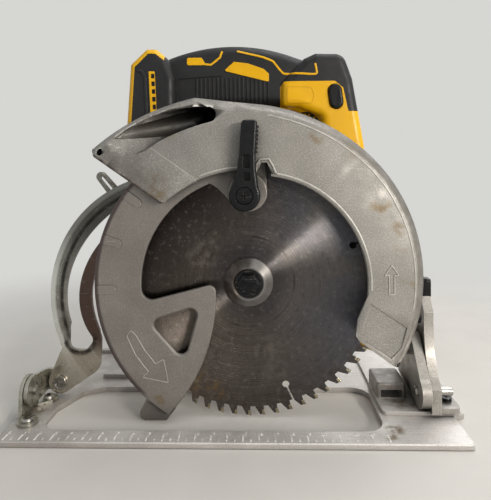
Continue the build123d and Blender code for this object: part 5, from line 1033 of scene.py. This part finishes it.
for side_name, side in (("right", -1), ("left", 1)):
    surface = half_surface(side_name)
    for trim_name, mesh, finish, slot in handle_trim():
        put(f"{side_name}_{trim_name}", draped(mesh, surface, side), finish, "saw_body", slot)


# Floor: a plain pale card under the saw. It isn't part of the object.
# Far from the saw it takes the even tone of the wall, so that no line shows where the two meet.
WALL_TONE = "#d6d6d3"
FLOOR_FADE = (260, 620)
FLOOR_HALF = 4000


def seen_ray(tree):
    """One for rays that show the background: from the camera, off metal or through glass."""
    rays = add(tree, "ShaderNodeLightPath").outputs
    seen = rays["Is Camera Ray"]
    for kind in ("Is Glossy Ray", "Is Transmission Ray"):
        either = add(tree, "ShaderNodeMath", {"operation": "MAXIMUM"}, links={0: seen, 1: rays[kind]})
        seen = either.outputs[0]
    return seen


def pale_floor():
    """Matt pale card with a barely visible grain, which fades into the wall far from the saw."""
    material, tree, shader, place = start_finish("pale_floor_card", Roughness=0.9)
    colour = coat(tree, "#d5d2cd", "#dad7d2", (speckle(tree, place, size=60.0, detail=3.0), 0.3, 0.7))
    tree.links.new(colour, shader.inputs["Base Color"])
    away = add(tree, "ShaderNodeVectorMath", {"operation": "LENGTH"}, links={0: place}).outputs["Value"]
    far = mask(tree, between(away, *FLOOR_FADE), seen_ray(tree))
    wall = add(tree, "ShaderNodeEmission", values={"Color": linear(WALL_TONE), "Strength": 1.0}).outputs[0]
    faded = add(tree, "ShaderNodeMixShader", links={0: far, 1: shader.outputs[0], 2: wall}).outputs[0]
    output = next(n for n in tree.nodes if n.type == "OUTPUT_MATERIAL")
    tree.links.new(faded, output.inputs["Surface"])
    return material


floor_shape = bmesh.new()
bmesh.ops.create_grid(floor_shape, x_segments=2, y_segments=2, size=FLOOR_HALF * MM)
floor_mesh = plain_mesh(floor_shape, "floor")
floor_mesh.materials.append(pale_floor())
floor = in_scene("floor", floor_mesh)


# Light: a narrow strip from the right that streaks the blade, with a soft key above it, a top softbox,
# one behind and weak fills at the sides. The world adds an even pale light, seen as a plain wall.
LIGHT_AIM = (0, 0, 120)
EVEN_LIGHT = 0.28


def softbox(name, place, size, power, colour, narrow=None, along=(0, 0, 1)):
    """One area light that faces the saw: square, or a narrow strip along a direction; sizes in millimetres."""
    lamp = bpy.data.lights.new(name, "AREA")
    lamp.shape = "RECTANGLE"
    lamp.size = (narrow or size) * MM
    lamp.size_y = size * MM
    lamp.energy = power
    lamp.color = linear(colour)[:3]
    holder = in_scene(name, lamp)
    holder.location = Vector(place) * MM
    back = (Vector(place) - Vector(LIGHT_AIM)).normalized()
    across = Vector(along).cross(back).normalized()
    holder.rotation_euler = Matrix((across, back.cross(across), back)).transposed().to_euler()


softbox("key_right", (850, -720, 520), size=400, power=1.6, colour="#fff9f0")
softbox(
    "strip_right", (730, -930, 340), size=500, power=9.0, colour="#fff9f0",
    narrow=35, along=(0.65, 0.62, 0.44),
)
softbox("side_right", (1100, -300, 500), size=700, power=1.0, colour="#ffffff")
softbox("top", (400, 0, 1250), size=900, power=7.8, colour="#ffffff")
softbox("fill_left", (-900, -800, 450), size=800, power=0.8, colour="#f4f7ff")
softbox("back", (700, 1100, 900), size=900, power=5.0, colour="#ffffff")

world = bpy.data.worlds.new("studio")
bpy.context.scene.world = world
world.use_nodes = True
sky = world.node_tree
sky.nodes.clear()
even = add(sky, "ShaderNodeBackground", values={"Color": linear("#f4f4f2"), "Strength": EVEN_LIGHT})
wall = add(sky, "ShaderNodeBackground", values={"Color": linear(WALL_TONE), "Strength": 1.0})
chosen = add(sky, "ShaderNodeMixShader", links={0: seen_ray(sky), 1: even.outputs[0], 2: wall.outputs[0]})
add(sky, "ShaderNodeOutputWorld", links={"Surface": chosen.outputs[0]})
bpy.context.scene.view_settings.view_transform = "Standard"


# Camera: a short lens close in front of the blade, level with the guard, as the photograph was taken.
# Its focal length and centre are in pixels of a picture 500 pixels high, and become lens and shift.
IMAGE_HIGH = 500
FOCAL_PX = 465.0
CENTRE_PX = 178.0
SENSOR = 36.0
EYE = (9.7, -315.0, 171.3)
NEAREST = 10
YAW, PITCH, ROLL = math.radians(2.0), math.radians(1.25), math.radians(-0.8)
camera_data = bpy.data.cameras.new("camera")
camera_data.sensor_width = SENSOR
camera_data.lens = FOCAL_PX / IMAGE_HIGH * SENSOR
camera_data.shift_y = (CENTRE_PX - IMAGE_HIGH / 2) / IMAGE_HIGH
camera_data.clip_start = NEAREST * MM
camera = in_scene("camera", camera_data)
forward = Vector((-math.sin(YAW) * math.cos(PITCH), math.cos(YAW) * math.cos(PITCH), -math.sin(PITCH)))
level = forward.cross(Vector((0, 0, 1))).normalized()
above = level.cross(forward)
right = level * math.cos(ROLL) + above * math.sin(ROLL)
up = above * math.cos(ROLL) - level * math.sin(ROLL)
turn = Matrix((right, up, -forward)).transposed().to_4x4()
camera.matrix_world = Matrix.Translation(Vector(EYE) * MM) @ turn
bpy.context.scene.camera = camera
